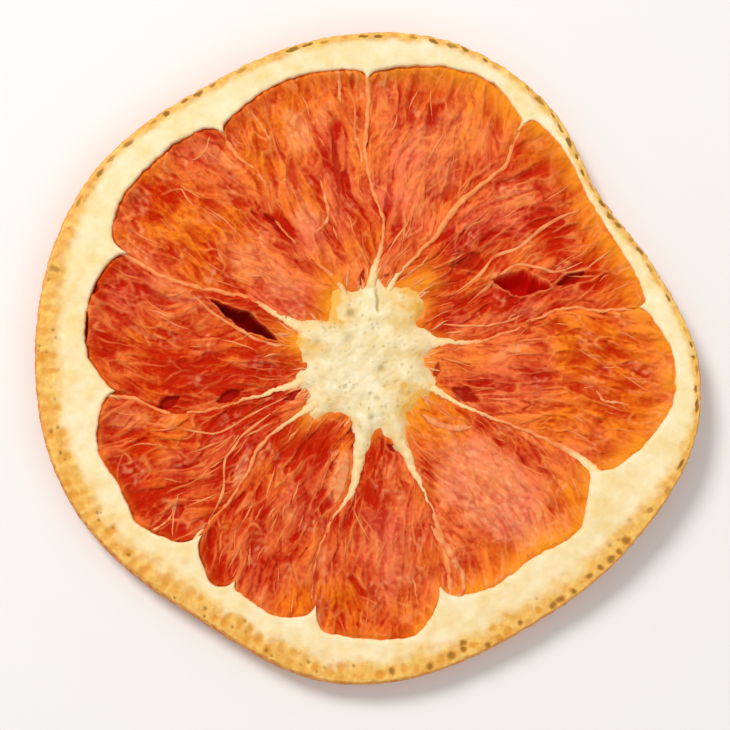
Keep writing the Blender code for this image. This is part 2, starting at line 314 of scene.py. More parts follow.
def through(values, place):
    """Smooth curve through evenly spaced values, read at places counted in spacings."""
    values = np.asarray(values, float)
    last = len(values) - 1
    place = np.clip(place, 0.0, last)
    start = np.minimum(place.astype(int), last - 1)
    t = place - start
    p0 = values[np.maximum(start - 1, 0)]
    p1 = values[start]
    p2 = values[start + 1]
    p3 = values[np.minimum(start + 2, last)]
    linear = (p2 - p0) * t
    square = (2.0 * p0 - 5.0 * p1 + 4.0 * p2 - p3) * t ** 2
    cube = (3.0 * p1 - p0 - 3.0 * p2 + p3) * t ** 3
    return p1 + 0.5 * (linear + square + cube)


def scatter(column, row, seed):
    """A repeatable number from 0 to 1 for each whole-number place."""
    column = column.astype(np.int64)
    row = row.astype(np.int64)
    mixed = (column * 374761393 + row * 668265263 + seed * 974634777) & 0xFFFFFFFF
    mixed = ((mixed ^ (mixed >> 13)) * 1274126177) & 0xFFFFFFFF
    return (mixed ^ (mixed >> 16)) / 4294967295.0


def ripple(x, y, seed):
    """Smooth noise from about -1 to 1 with one lump to a unit."""
    column = np.floor(x)
    row = np.floor(y)
    fx = x - column
    fy = y - row
    total = 0.0
    for dx in (0, 1):
        for dy in (0, 1):
            turn = 2.0 * math.pi * scatter(column + dx, row + dy, seed)
            slope = np.cos(turn) * (fx - dx) + np.sin(turn) * (fy - dy)
            weight_x = smooth(1.0 - np.abs(fx - dx))
            weight_y = smooth(1.0 - np.abs(fy - dy))
            total = total + slope * weight_x * weight_y
    return total * 1.6


def wobble(along, seed, row=0.0):
    """The same noise along one line, taken from a row of its own."""
    return ripple(along, np.full_like(along, row), seed)


def patchy(x, y, size, seed, level, contrast):
    """Soft patches from 0 to 1 of about a size: how full they are on the whole, and how sharp."""
    return smooth(level + contrast * ripple(x / size, y / size, seed))


def layered(x, y, seed, layers=3):
    """Ripples of halving size on each other."""
    total = 0.0
    for layer in range(layers):
        scale = 2.0 ** layer
        total = total + ripple(x * scale, y * scale, seed + layer) / scale
    return total


def cells(x, y, seed):
    """Distance past the nearest cell's wall, a number from 0 to 1 for it, and how far its middle is."""
    column = np.floor(x)
    row = np.floor(y)
    nearest = np.full(x.shape, 9.0)
    second = np.full(x.shape, 9.0)
    label = np.zeros(x.shape)
    for dx in (-1, 0, 1):
        for dy in (-1, 0, 1):
            across = column + dx
            along = row + dy
            px = across + scatter(across, along, seed)
            py = along + scatter(across, along, seed + 1)
            away = np.hypot(px - x, py - y)
            closer = away < nearest
            second = np.where(closer, nearest, np.minimum(second, away))
            label = np.where(closer, scatter(across, along, seed + 2), label)
            nearest = np.where(closer, away, nearest)
    return second - nearest, label, nearest


def line(x, y, seed, width):
    """Thin unbroken lines: 1 along the middle of each, 0 past its width."""
    return smooth(1.0 - np.abs(ripple(x, y, seed)) / width)


def reshuffled(label, step):
    """Another repeatable number from 0 to 1 for each label."""
    return np.mod(label * step, 1.0)


def turned(x, y, centre_x, centre_y, turn):
    """Places along and across a mark that lies at a centre, turned by some degrees."""
    cosine = math.cos(math.radians(turn))
    sine = math.sin(math.radians(turn))
    dx = x - centre_x
    dy = y - centre_y
    return dx * cosine + dy * sine, dy * cosine - dx * sine


# ---------------------------------------------------------------- the slice's plan

# Rays that measure the solid: where they start, how many stand over each other and how far apart,
# and how far in from the rim its lift is read
RAY_START = 50.0
RAY_DEPTH = 5.0
RAY_COUNT = 12
RAY_GAP = 0.4
LIFT_INSET = 1.0


def measure_rim():
    """Outer radius and lift off the table of the frame's solid, at every degree."""
    tree = BVHTree.FromPolygons(
        [corner.co for corner in solid.data.vertices],
        [face.vertices for face in solid.data.polygons],
    )
    radii = []
    lifts = []
    for degree in range(360):
        angle = math.radians(degree)
        outward = Vector((math.cos(angle), math.sin(angle), 0.0))
        widest = 0.0
        for step in range(RAY_COUNT):
            start = outward * RAY_START * MM
            start.z = RAY_GAP * (step + 1) * MM
            place = tree.ray_cast(start, -outward)[0]
            if place is not None:
                widest = max(widest, math.hypot(place.x, place.y))
        radii.append(widest / MM)
        below = outward * (widest - LIFT_INSET * MM)
        below.z = -RAY_DEPTH * MM
        lifts.append(max(tree.ray_cast(below, Vector((0.0, 0.0, 1.0)))[0].z / MM, 0.0))
    return np.array(radii), np.array(lifts)


RIM_RADII, RIM_LIFTS = measure_rim()
DEGREES = np.arange(360.0)


def rim_radius(angle):
    return np.interp(angle, DEGREES, RIM_RADII, period=360.0)


def lift(angle, radius):
    """How far the dried slice curls off the table."""
    at_rim = np.interp(angle, DEGREES, RIM_LIFTS, period=360.0)
    return at_rim * (radius / rim_radius(angle)) ** 2


def membrane_angle(index, radius):
    """Angle of a membrane at each radius; numbers past the last membrane go on round the slice."""
    turns, place = divmod(index, SEGMENTS)
    stations = MEMBRANE_ANGLES[place]
    inward = (RIM_STATION - radius) / (RIM_STATION - CORE_STATION) * (len(stations) - 1.0)
    angle = through(stations, inward)
    wander = 0.13 * wobble(radius / 1.5, 11, 3.7 * place) + 0.16 * wobble(radius / 3.6, 12, 1.9 * place)
    wander = wander * smooth((rim_radius(angle) - radius) / 8.0)
    return angle + np.degrees(wander / np.maximum(radius, 1.0)) + 360.0 * turns


def segment_span(index):
    """Degrees from one side of a segment to the other, at the rim."""
    return (MEMBRANE_ANGLES[(index + 1) % SEGMENTS][0] - MEMBRANE_ANGLES[index][0]) % 360.0


def segment_place(angle):
    """Segment number and share of the way across it, at the rim, for each angle."""
    starts = np.array([stations[0] for stations in MEMBRANE_ANGLES])
    angle = np.mod(angle - starts[0], 360.0) + starts[0]
    segment = np.searchsorted(starts, angle, side="right") - 1
    ends = np.append(starts[1:], starts[0] + 360.0)
    return segment, (angle - starts[segment]) / (ends[segment] - starts[segment])


def inner_edge(angle):
    """Radius of the pith's scalloped inner edge."""
    segment, across = segment_place(angle)
    rim = rim_radius(angle)
    width = np.zeros(angle.shape)
    for index in range(SEGMENTS):
        here = segment == index
        if not here.any():
            continue
        share = across[here]
        span = rim[here] * np.radians(segment_span(index))
        wide = through(PITH_WIDTHS[index], (share - 0.05) / 0.225)
        first, first_breadth = TONGUES[index]
        second, second_breadth = TONGUES[(index + 1) % SEGMENTS]
        from_first = np.exp(-share * span / first_breadth)
        from_second = np.exp(-(1.0 - share) * span / second_breadth)
        wide = np.maximum(wide, mix(wide, first + 0.6, from_first))
        width[here] = np.maximum(wide, mix(wide, second + 0.6, from_second))
    for turn, length, breadth in SPIKES:
        away = np.abs(apart(angle, turn))
        width = width + length * np.exp(-np.radians(away) * rim / breadth)
    nibble = 0.13 * layered(angle * 0.35, angle * 0.0, 21, 3)
    return rim - width + nibble


def core_edge(angle):
    """Radius of the core's edge, a smooth closed curve through its outline."""
    turns = [row[0] for row in CORE_OUTLINE]
    radii = [row[1] for row in CORE_OUTLINE]
    stops = np.array(turns[-2:]) - 360.0
    ahead = np.array(turns[:2]) + 360.0
    turns = np.concatenate([stops, turns, ahead])
    radii = np.concatenate([radii[-2:], radii, radii[:2]])
    angle = np.mod(angle, 360.0)
    return through(radii, np.interp(angle, turns, np.arange(len(turns))))


def core_stain(angle):
    """How strongly the core's edge is stained amber at each angle."""
    stained = np.zeros(angle.shape)
    for turn, breadth, strength in CORE_STAINS:
        stained = np.maximum(stained, strength * hill(apart(angle, turn), breadth))
    return stained


def sunk_pockets(x, y):
    """How deep each pocket sinks the pulp here."""
    depth = np.zeros(x.shape)
    ragged = 0.25 * ripple(x * 1.3, y * 1.3, 31) + 0.12 * ripple(x * 3.5, y * 3.5, 32)
    for centre_x, centre_y, half_length, half_width, turn, deep in POCKETS:
        along, across = turned(x, y, centre_x, centre_y, turn)
        inside = 1.0 - np.abs(along / half_length) ** 1.3 - np.abs(across / half_width) ** 1.3 + ragged
        depth = np.maximum(depth, deep * smooth(inside * 2.2 + 0.4))
    return depth


def blotches(table, x, y, seed):
    """Ragged blotches from a table, each adding or taking its own strength."""
    total = np.zeros(x.shape)
    ragged = 0.35 * layered(x / 2.2, y / 2.2, seed, 2)
    for centre_x, centre_y, half_length, half_width, turn, strength in table:
        along, across = turned(x, y, centre_x, centre_y, turn)
        inside = 1.0 - np.hypot(along / half_length, across / half_width) + ragged
        total = total + strength * smooth(inside * 1.2 + 0.45)
    return np.clip(total, -1.2, 1.2)


def tear_mask(segment, x, y):
    """1 deep inside a tear, 0 at its lip, below 0 outside, and how bright the tear's walls are."""
    inside = np.full(x.shape, -9.0)
    bright = 0.0
    for where, centre_x, centre_y, half_length, half_width, turn, tone in TEARS:
        if where != segment:
            continue
        bright = tone
        along, across = turned(x, y, centre_x, centre_y, turn)
        spread = np.abs(along / half_length) ** 1.15 + np.abs(across / half_width) ** 1.15
        inside = np.maximum(inside, 1.0 - spread + 0.16 * ripple(x * 1.3, y * 1.3, 33))
    return inside, bright


# ---------------------------------------------------------------- meshes

def points_of(blank):
    return np.array([corner.co[:] for corner in blank.verts])


def unrolled(turns, starts, face):
    """Turns from 0 to 1 at face corners, carried past 1 in the faces that straddle 0."""
    low = np.minimum.reduceat(turns, starts)[face]
    high = np.maximum.reduceat(turns, starts)[face]
    return turns + ((high - low > 0.5) & (turns < 0.5))


def settle(blank, name, places, masks, material, chart=None):
    """Moves a blank's points to their places, in millimetres, and puts the piece on the slice's body."""
    mesh = bpy.data.meshes.new(name)
    blank.to_mesh(mesh)
    blank.free()
    mesh.vertices.foreach_set("co", np.ascontiguousarray(places * MM, np.float32).ravel())
    for label, values in masks.items():
        kind, prop = ("FLOAT", "value") if values.ndim == 1 else ("FLOAT_VECTOR", "vector")
        layer = mesh.attributes.new(label, kind, "POINT")
        layer.data.foreach_set(prop, np.ascontiguousarray(values, np.float32).ravel())
    if chart is not None:
        corners = np.zeros(len(mesh.loops), np.int32)
        mesh.loops.foreach_get("vertex_index", corners)
        starts = np.zeros(len(mesh.polygons), np.int32)
        mesh.polygons.foreach_get("loop_start", starts)
        face = np.repeat(np.arange(len(starts)), np.diff(np.append(starts, len(corners))))
        layer = mesh.uv_layers.new(name="OFBake")
        spread = chart(corners, starts, face)
        layer.data.foreach_set("uv", np.ascontiguousarray(spread, np.float32).ravel())
    mesh.update()
    mesh.shade_smooth()
    mesh.materials.append(material)
    piece = bpy.data.objects.new(name, mesh)
    bpy.context.scene.collection.objects.link(piece)
    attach(piece, BODY)
    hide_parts(NODE)


def turn_outwards(blank):
    bmesh.ops.recalc_face_normals(blank, faces=blank.faces[:])


def rod_blank(sides, steps):
    """A closed rod of unit length and radius, cut into even steps along its length."""
    blank = bmesh.new()
    bmesh.ops.create_cone(
        blank, cap_ends=True, cap_tris=False, segments=sides, radius1=1.0, radius2=1.0, depth=1.0,
        matrix=Matrix.Translation((0.0, 0.0, 0.5)),
    )
    long_edges = [edge for edge in blank.edges if abs(edge.verts[0].co.z - edge.verts[1].co.z) > 0.5]
    bmesh.ops.subdivide_edges(blank, edges=long_edges, cuts=steps - 1, use_grid_fill=True)
    return blank


# ---------------------------------------------------------------- pulp

# Faces of the pulp's grids, and how far the pulp runs on under the core and the pith
COLUMNS_PER_DEGREE = 4.4
PULP_ROWS = 205
UNDER_COLUMNS = 62
UNDER_ROWS = 84
FLESH_START = 8.0
FLESH_END = 28.0
TUCK_UNDER_CORE = 1.4
TUCK_UNDER_PITH = 0.8
# Tears: the share of each that its slit takes, how far the slit slants, and how soon its wall is down
SLIT_LENGTH_SHARE = 0.8
SLIT_WIDTH_SHARE = 0.36
SLANT = 1.7
SLANT_FADE = 3.8
TEAR_LIP = 0.02
TEAR_WALL = 0.34
# Sides where the flesh has shrunk away from the pith, where that groove is also painted dark as shade, and
# where it is amber beside the pith
OPEN_TOWARD = 150.0
AMBER_TOWARD = 8.0
# Seeds of the pulp's noise: one step for each segment, one for the underside, one for the patches
PULP_SEED = 100
UNDERSIDE_SEED = 50
PATCH_SEED = 35
# Loose threads that lean across the cells: cosine and sine of the lean, their gap, the size of their
# patches, and their seed
LEANING_THREADS = (
    (0.82, 0.57, 2.4, 2.4, 15),
    (0.86, -0.5, 2.6, 2.7, 17),
)


def wedge_blank(columns):
    """A fine grid over a coarse one, both 1 by 1, at heights 1 and 0."""
    blank = bmesh.new()
    for height, wide, long in ((1.0, columns, PULP_ROWS), (0.0, UNDER_COLUMNS, UNDER_ROWS)):
        bmesh.ops.create_grid(
            blank, x_segments=wide, y_segments=long, size=0.5,
            matrix=Matrix.Translation((0.5, 0.5, height)),
        )
    return blank


def wedge_width(segment, radius):
    return radius * np.radians(membrane_angle(segment + 1, radius) - membrane_angle(segment, radius))


def wedge_angle(segment, across, radius):
    return mix(membrane_angle(segment, radius), membrane_angle(segment + 1, radius), across)


def pulp_place(segment, across, share):
    """Radius and angle of the points of a segment, from under the core to under the pith."""
    angle = wedge_angle(segment, across, np.full_like(across, FLESH_START))
    inner = core_edge(angle) - TUCK_UNDER_CORE
    outer = np.full_like(across, FLESH_END)
    for _ in range(3):
        outer = inner_edge(wedge_angle(segment, across, outer))
    radius = mix(inner, outer + TUCK_UNDER_PITH, share)
    return radius, wedge_angle(segment, across, radius)


def juice_cells(offset, radius, x, y, seed):
    """The long dried juice cells: place in their pattern, wall distance, label, and place in each cell."""
    cell_width = mix(0.7, 1.4, radius / FLESH_END)
    column = offset / cell_width + 0.55 * ripple(x / 5.0, y / 5.0, seed)
    column = column + 0.14 * ripple(x / 1.5, y / 1.5, seed + 1)
    row = radius / 5.0 + 0.35 * ripple(x / 4.0, y / 4.0, seed + 2)
    row = row + 0.45 * np.abs(offset) / 6.0
    wall, label, _ = cells(column, row, seed + 3)
    tilt = np.radians(56.0 * (reshuffled(label, 7.13) - 0.5))
    along = radius * np.cos(tilt) - offset * np.sin(tilt)
    beside = offset * np.cos(tilt) + radius * np.sin(tilt)
    return column, row, wall, label, beside, along


def loose_threads(column, row, wall, offset, radius, x, y, seed):
    """Pale threads on the cells: along their walls, in veins, and leaning across them in patches."""
    seam = (1.0 - smooth(wall / 0.16)) * patchy(x, y, 2.2, seed + 12, 0.3, 1.4)
    vein = line(column * 0.7 + 3.0, row * 0.7, seed + 13, 0.10)
    vein = vein * patchy(x, y, 3.0, seed + 14, 0.1, 1.5)
    threads = np.maximum(0.8 * seam, vein)
    for cosine, sine, gap, patch_size, step in LEANING_THREADS:
        beside = (offset * cosine + radius * sine) / gap
        along = (radius * cosine - offset * sine) / 6.0
        patch = patchy(x, y, patch_size, seed + step + 1, -0.1, 1.5)
        threads = np.maximum(threads, 0.9 * line(beside, along, seed + step, 0.07) * patch)
    return threads


def amber_stain(angle, to_core, to_pith, x, y):
    """Where the flesh is stained amber, round the core and beside the pith on one side."""
    near_core = 1.2 * hill(to_core, 2.3) * core_stain(angle) + 0.3 * hill(to_core, 0.8)
    stained_side = smooth(0.35 + 1.3 * toward(angle, AMBER_TOWARD))
    near_pith = hill(to_pith, mix(0.5, 1.7, stained_side)) * mix(0.25, 0.95, stained_side)
    return np.clip(near_core + near_pith, 0.0, 1.0) * patchy(x, y, 1.8, 44, 0.85, 0.6)


def pulp_relief(segment, across, radius, angle, x, y, seed):
    """Height of the dried juice cells over the mean face, and the masks that colour them."""
    width = wedge_width(segment, radius)
    offset = (across - 0.5) * width
    to_membrane = np.minimum(across, 1.0 - across) * width
    to_pith = inner_edge(angle) - radius
    to_core = radius - core_edge(angle)
    column, row, wall, label, beside, along = juice_cells(offset, radius, x, y, seed)
    patch = blotches(PATCHES, x, y, PATCH_SEED)

    swell = 2.0 * label - 1.0
    plump = smooth(wall / 0.5)
    shift = 40.0 * label
    fold = ripple(beside / 0.44 + shift, along / 1.7, seed + 7)
    fine = ripple(beside / 0.24 + shift, along / 0.9, seed + 8)
    bundle = ripple(beside / 1.1 + shift, along / 4.0, seed + 9)
    grit = ripple(x / 0.42, y / 0.42, seed + 19)
    beside_sac = beside / 0.52 + shift + 0.3 * ripple(x / 0.9, y / 0.9, seed + 28)
    sac_wall, sac, _ = cells(beside_sac, along / 1.25 + 0.3 * grit, seed + 29)
    net = (1.0 - smooth(sac_wall / 0.20)) * patchy(x, y, 1.9, seed + 30, 0.5, 1.2)
    crease = line(column * 0.85 + 7.0, row * 0.75, seed + 10, 0.11)
    crease = crease * patchy(x, y, 2.6, seed + 11, 0.2, 1.3)
    dense = smooth(-1.2 * patch)
    strand = loose_threads(column, row, wall, offset, radius, x, y, seed) * (1.0 - 0.6 * dense)

    relief = 0.24 * layered(x / 4.6, y / 4.6, seed + 20, 2)
    relief = relief + 0.20 * plump * swell + 0.15 * bundle
    relief = relief + 0.07 * fold + 0.02 * fine + 0.04 * grit
    relief = relief + 0.05 * (sac - 0.5) * smooth(sac_wall / 0.3) + 0.04 * net
    relief = relief + 0.08 * strand - 0.16 * crease + 0.12 * patch
    edge_fade = smooth(to_membrane / 0.9)
    relief = relief * mix(0.3, 1.0, edge_fade)
    beside_skin = smooth(0.4 + 1.2 * ripple(radius / 1.8, across * 2.0, seed + 23))
    relief = relief - 0.22 * hill(to_membrane, 0.4) * beside_skin

    open_side = smooth(0.5 + 1.4 * toward(angle, OPEN_TOWARD))
    rising = hill(np.maximum(to_pith, 0.0), 1.2) * (1.0 - 0.4 * hill(to_membrane, 0.5))
    relief = relief + 0.56 * rising
    groove = hill(to_pith - 0.02, 0.13) * mix(0.05, 0.42, open_side)
    groove = groove * patchy(x, y, 2.0, 42, 0.75, 0.8)
    relief = relief - groove
    calm = hill(np.maximum(to_core, 0.0), 0.55)
    beside_arm = np.where(across < 0.5, segment in ARMS, (segment + 1) % SEGMENTS in ARMS)
    calm = np.maximum(calm, beside_arm * hill(to_membrane, 0.75) * smooth((15.5 - radius) / 3.0))
    relief = mix(relief, mix(-0.05, -0.3, patchy(x, y, 1.4, 41, 0.5, 1.0)), calm)
    ceiling = pith_face(x, y) - MIDDLE - FLESH_HALF + mix(-0.30, 1.0, smooth((to_pith + 0.1) / 1.3))
    relief = np.minimum(relief, ceiling)
    sunk = sunk_pockets(x, y)
    relief = relief - sunk * 0.5
    inside, tear_tone = tear_mask(segment, x, y)
    relief = mix(relief, 0.04, 0.9 * smooth((inside + 0.15) / 0.15))
    relief = relief + 0.12 * hill(inside + 0.12, 0.2)
    relief = mix(relief, -2.0 * FLESH_HALF + 0.1, smooth((inside - TEAR_LIP) / TEAR_WALL))

    strand = np.clip(strand * mix(0.4, 1.0, edge_fade) + 0.6 * hill(inside + 0.1, 0.08), 0.0, 1.0)
    # Painted shade: deeper red where the cells' relief is low, in creases, in the groove by the pith and in
    # the sunk pockets
    shade_in_hollows = smooth(0.30 - 0.5 * swell * plump - 0.6 * bundle - 0.3 * fold - 0.3 * grit - 0.5 * (sac - 0.5))
    shade_in_hollows = shade_in_hollows * 0.7 + 0.8 * crease + 1.4 * groove
    shade_in_hollows = np.clip(np.maximum(shade_in_hollows, smooth(sunk / 0.35)), 0.0, 1.0)
    pale = PULP_TONES[segment] + 0.44 * layered(x / 4.6, y / 6.0, seed + 24, 2)
    pale = pale + 0.24 * swell * plump + 0.30 * bundle + 0.18 * fold + 0.14 * grit + 0.45 * patch
    pale = pale + 0.26 * (sac - 0.5) * smooth(sac_wall / 0.2) + 0.26 * net
    pale = mix(pale, 0.42, smooth(sunk / 0.5))
    pale = np.where(inside > 0.0, tear_tone, pale)
    # Pale frost that the flesh has in patches, with painted glints: bright flecks over the folds and
    # scattered over the flesh
    glint_fleck = smooth(0.25 + 0.7 * fold + 0.9 * ripple(x / 0.5, y / 0.5, seed + 26))
    frost_and_glints = smooth(patch - 0.05) * (0.4 + 0.6 * glint_fleck)
    frost_and_glints = np.maximum(frost_and_glints, 0.65 * smooth(1.6 * layered(x / 3.2, y / 3.2, seed + 27, 2) - 0.25) * glint_fleck)
    amber = amber_stain(angle, np.maximum(to_core, 0.0), np.maximum(to_pith, 0.0), x, y)
    blush = 0.42 + 0.5 * blotches(BLUSHES, x, y, 37) + 0.35 * layered(x / 5.0, y / 5.0, 38, 2)
    masks = {
        "strand": strand,
        "shade_in_hollows": shade_in_hollows,
        "pale": np.clip(pale, 0.0, 1.0),
        "frost_and_glints": np.clip(frost_and_glints, 0.0, 1.0),
        "amber": amber,
        "blush": np.clip(blush, 0.0, 1.0),
        # Painted shade: tear walls and sunk pockets coloured deep red to maroon, the torn flesh's red
        # darkened as shade
        "torn_and_shaded": np.maximum(smooth(inside * 8.0 + 0.3), 0.9 * smooth(sunk * 3.0 - 0.9)),
        "fibre": np.stack([beside + shift, along * 0.3, label * 9.0], 1),
    }
    return relief, masks


def in_slit(segment, x, y):
    """True where a tear goes right through the pulp."""
    found = np.zeros(x.shape, bool)
    for where, centre_x, centre_y, half_length, half_width, turn, _ in TEARS:
        if where == segment:
            along, across = turned(x, y, centre_x, centre_y, turn)
            along = along / (half_length * SLIT_LENGTH_SHARE)
            across = across / (half_width * SLIT_WIDTH_SHARE)
            found = found | (np.hypot(along, across) < 1.0)
    return found


def slanted(segment, upper, inside, x, y):
    """Shifts the foot of each tear sideways, so that it slants through the pulp under its own lip."""
    for where, centre_x, centre_y, half_length, half_width, turn, _ in TEARS:
        if where == segment:
            along, across = turned(x, y, centre_x, centre_y, turn)
            past_end = np.maximum(np.abs(along) - half_length, 0.0)
            below = smooth(1.0 - np.hypot(past_end, across) / SLANT_FADE)
            foot = np.where(upper, smooth((inside - TEAR_LIP) / TEAR_WALL), below)
            shift = SLANT * half_width / 1.5 * foot
            x = x + shift * math.sin(math.radians(turn))
            y = y - shift * math.cos(math.radians(turn))
    return x, y


def wedge_chart(flat, upper, hole):
    """A bake map: the upper face, the underside, the outer wall and the tear's wall in bands."""
    def chart(corners, starts, face):
        across = flat[corners, 0]
        share = flat[corners, 1]
        high = upper[corners].astype(float)
        lowest = np.minimum.reduceat(high, starts)[face]
        highest = np.maximum.reduceat(high, starts)[face]
        in_wall = lowest != highest
        at_edge = np.abs(np.maximum(np.abs(across - 0.5), np.abs(share - 0.5)) - 0.5) < 1e-4
        centre = np.where(at_edge[:, None], np.array([0.5, 0.5]), hole)
        turn = np.arctan2(share - centre[:, 1], across - centre[:, 0]) / (2.0 * math.pi) + 0.5
        turn = unrolled(np.mod(turn, 1.0), starts, face) * 0.98
        band = np.where(at_edge, 0.01 + 0.08 * high, 0.10 + 0.02 * high)
        row = np.where(high > 0.5, mix(0.31, 0.99, share), mix(0.13, 0.30, share))
        return np.stack([np.where(in_wall, turn, mix(0.01, 0.99, across)), np.where(in_wall, band, row)], 1)
    return chart


def make_pulp(segment, material):
    """One segment's dried pulp: a closed wedge with a fine upper face and a plainer underside."""
    blank = wedge_blank(int(COLUMNS_PER_DEGREE * segment_span(segment)))
    flat = points_of(blank)
    across = flat[:, 0]
    share = flat[:, 1]
    upper = flat[:, 2] > 0.5
    radius, angle = pulp_place(segment, across, share)
    x, y = plan(angle, radius)
    seed = PULP_SEED * (segment + 1)
    top, masks = pulp_relief(segment, across, radius, angle, x, y, seed)
    under, under_masks = pulp_relief(segment, across, radius, angle, x, y, seed + UNDERSIDE_SEED)
    curl = lift(angle, radius)
    under_height = MIDDLE - FLESH_HALF - np.clip(under, -0.4, 0.5)
    z = np.where(upper, np.maximum(MIDDLE + FLESH_HALF + top, under_height + 0.03), under_height)
    moved_x, moved_y = slanted(segment, upper, tear_mask(segment, x, y)[0], x, y)
    places = np.stack([moved_x, moved_y, np.maximum(z + curl, 0.05)], 1)
    for label, values in masks.items():
        side = upper if values.ndim == 1 else upper[:, None]
        masks[label] = np.where(side, values, under_masks[label])

    outer = [edge for edge in blank.edges if edge.is_boundary]
    slit = in_slit(segment, x, y)
    blank.verts.index_update()
    holes = [face for face in blank.faces if all(slit[corner.index] for corner in face.verts)]
    number = blank.verts.layers.int.new("number")
    for place, corner in enumerate(blank.verts):
        corner[number] = place
    bmesh.ops.bridge_loops(blank, edges=outer)
    hole = flat[slit, :2].mean(axis=0) if holes else np.zeros(2)
    if holes:
        bmesh.ops.delete(blank, geom=holes, context="FACES")
        bmesh.ops.bridge_loops(blank, edges=[edge for edge in blank.edges if edge.is_boundary])
    order = np.array([corner[number] for corner in blank.verts])
    blank.verts.layers.int.remove(number)
    turn_outwards(blank)
    masks = {label: values[order] for label, values in masks.items()}
    chart = wedge_chart(flat[order], upper[order], hole)
    settle(blank, f"pulp_{segment + 1:02d}", places[order], masks, material, chart)


def pulp_height(segment, x, y):
    """Height of the pulp's upper face at places in a segment."""
    radius = np.hypot(x, y)
    angle = np.degrees(np.arctan2(y, x))
    first = membrane_angle(segment, radius)
    second = membrane_angle(segment + 1, radius)
    angle = first + apart(angle, first)
    across = np.clip((angle - first) / (second - first), 0.02, 0.98)
    relief, _ = pulp_relief(segment, across, radius, angle, x, y, PULP_SEED * (segment + 1))
    return MIDDLE + FLESH_HALF + relief + lift(angle, radius)


# ---------------------------------------------------------------- pith and peel

# Columns of points round the rind, and the strips that its bake map is cut into
RIND_COLUMNS = 1280
STRIPS = 4
# How far the side leans and where to, the rind's mean radius, and the rounding of its edges
LEAN = 0.25
LEAN_TOWARD = 225.0
MEAN_RADIUS = 34.0
EDGE_ROUND = 0.3
# Sides where the cut slants through the zest, and where its glands are small and dark
SLANT_CUT_TOWARD = 246.0
DARK_GLANDS_TOWARD = 325.0
# Spacing along the rim of the split glands at its outer edge, and of the glands cut open on top
DASH_SPACING = 1.9
GLAND_SPACING = 1.35
# Rows of oil glands: depth in from the outer edge, and the share that the cut opened at the lower
# left and at the lower right
GLAND_ROWS = (
    (0.85, 0.9, 0.9),
    (1.9, 0.65, 0.08),
)


def ring_blank(profile_points):
    """A closed ring: a flat grid rolled up both ways, with its two seams welded."""
    blank = bmesh.new()
    bmesh.ops.create_grid(blank, x_segments=RIND_COLUMNS, y_segments=profile_points, size=0.5)
    for corner in blank.verts:
        turn = 2.0 * math.pi * corner.co.x
        roll = 2.0 * math.pi * corner.co.y
        reach = 2.0 + math.cos(roll)
        corner.co = (reach * math.cos(turn), reach * math.sin(turn), math.sin(roll))
    seam = [corner for corner in blank.verts if corner.is_boundary]
    bmesh.ops.remove_doubles(blank, verts=seam, dist=1e-5)
    turn_outwards(blank)
    return blank


def arc_of(angle):
    """Length round the rind, in millimetres."""
    return np.radians(angle) * MEAN_RADIUS


def ring_numbers(blank, profile_points):
    """Column number and profile point number of each of a ring's points."""
    places = points_of(blank)
    turn = np.arctan2(places[:, 1], places[:, 0]) / (2.0 * math.pi)
    roll = np.arctan2(places[:, 2], np.hypot(places[:, 0], places[:, 1]) - 2.0) / (2.0 * math.pi)
    column = np.mod(np.round(turn * RIND_COLUMNS), RIND_COLUMNS)
    number = np.mod(np.round(roll * profile_points), profile_points)
    return column, number


def ring_chart(column, number, profile_points):
    """A bake map of the ring cut into stacked strips, so that its texels are nearly square."""
    def chart(corners, starts, face):
        around = unrolled(column[corners] / RIND_COLUMNS, starts, face) * STRIPS
        section = unrolled(number[corners] / profile_points, starts, face)
        strip = np.floor(np.minimum.reduceat(around, starts)[face] + 1e-6)
        return np.stack([mix(0.01, 0.99, around - strip), (strip + mix(0.02, 0.98, section)) / STRIPS], 1)
    return chart


def start_ring(profile_points):
    """A ring's blank, the angle and profile number of each of its points, and its bake map."""
    blank = ring_blank(profile_points)
    column, number = ring_numbers(blank, profile_points)
    return blank, column * 360.0 / RIND_COLUMNS, number, ring_chart(column, number, profile_points)


def low_left(angle):
    """1 round the lower left, where the rind is cut at a slant, and 0 at the upper right."""
    return smooth((toward(angle, SLANT_CUT_TOWARD) + 0.28) / 0.6)


def side_radius(angle, height_share):
    """Outer radius of the leaning side wall at a share of the thickness."""
    facing = toward(angle, LEAN_TOWARD)
    lean = np.maximum(facing, 0.0) * height_share + np.maximum(-facing, 0.0) * (1.0 - height_share)
    belly = 0.10 * (2.0 * height_share - 1.0) ** 2
    room = np.minimum((rim_radius(angle) - inner_edge(angle)) / 3.2, 1.0)
    arc = arc_of(angle)
    wave = 0.07 * ripple(arc / 1.3, height_share * 1.2, 51)
    wave = wave + 0.045 * ripple(arc / 0.45, height_share * 3.0, 52)
    return rim_radius(angle) - (LEAN * lean + belly) * room + wave - 0.06


def zest_width(angle):
    """Width on the cut face of the outer layer that holds the oil glands."""
    return mix(0.9, 2.3, low_left(angle)) * (1.0 + 0.2 * wobble(arc_of(angle) / 2.4, 53))


def luck_of(number, row, seeds):
    """A repeatable number from 0 to 1 from each seed, for each mark in a row of marks."""
    return [scatter(number, np.full_like(number, row), seed) for seed in seeds]


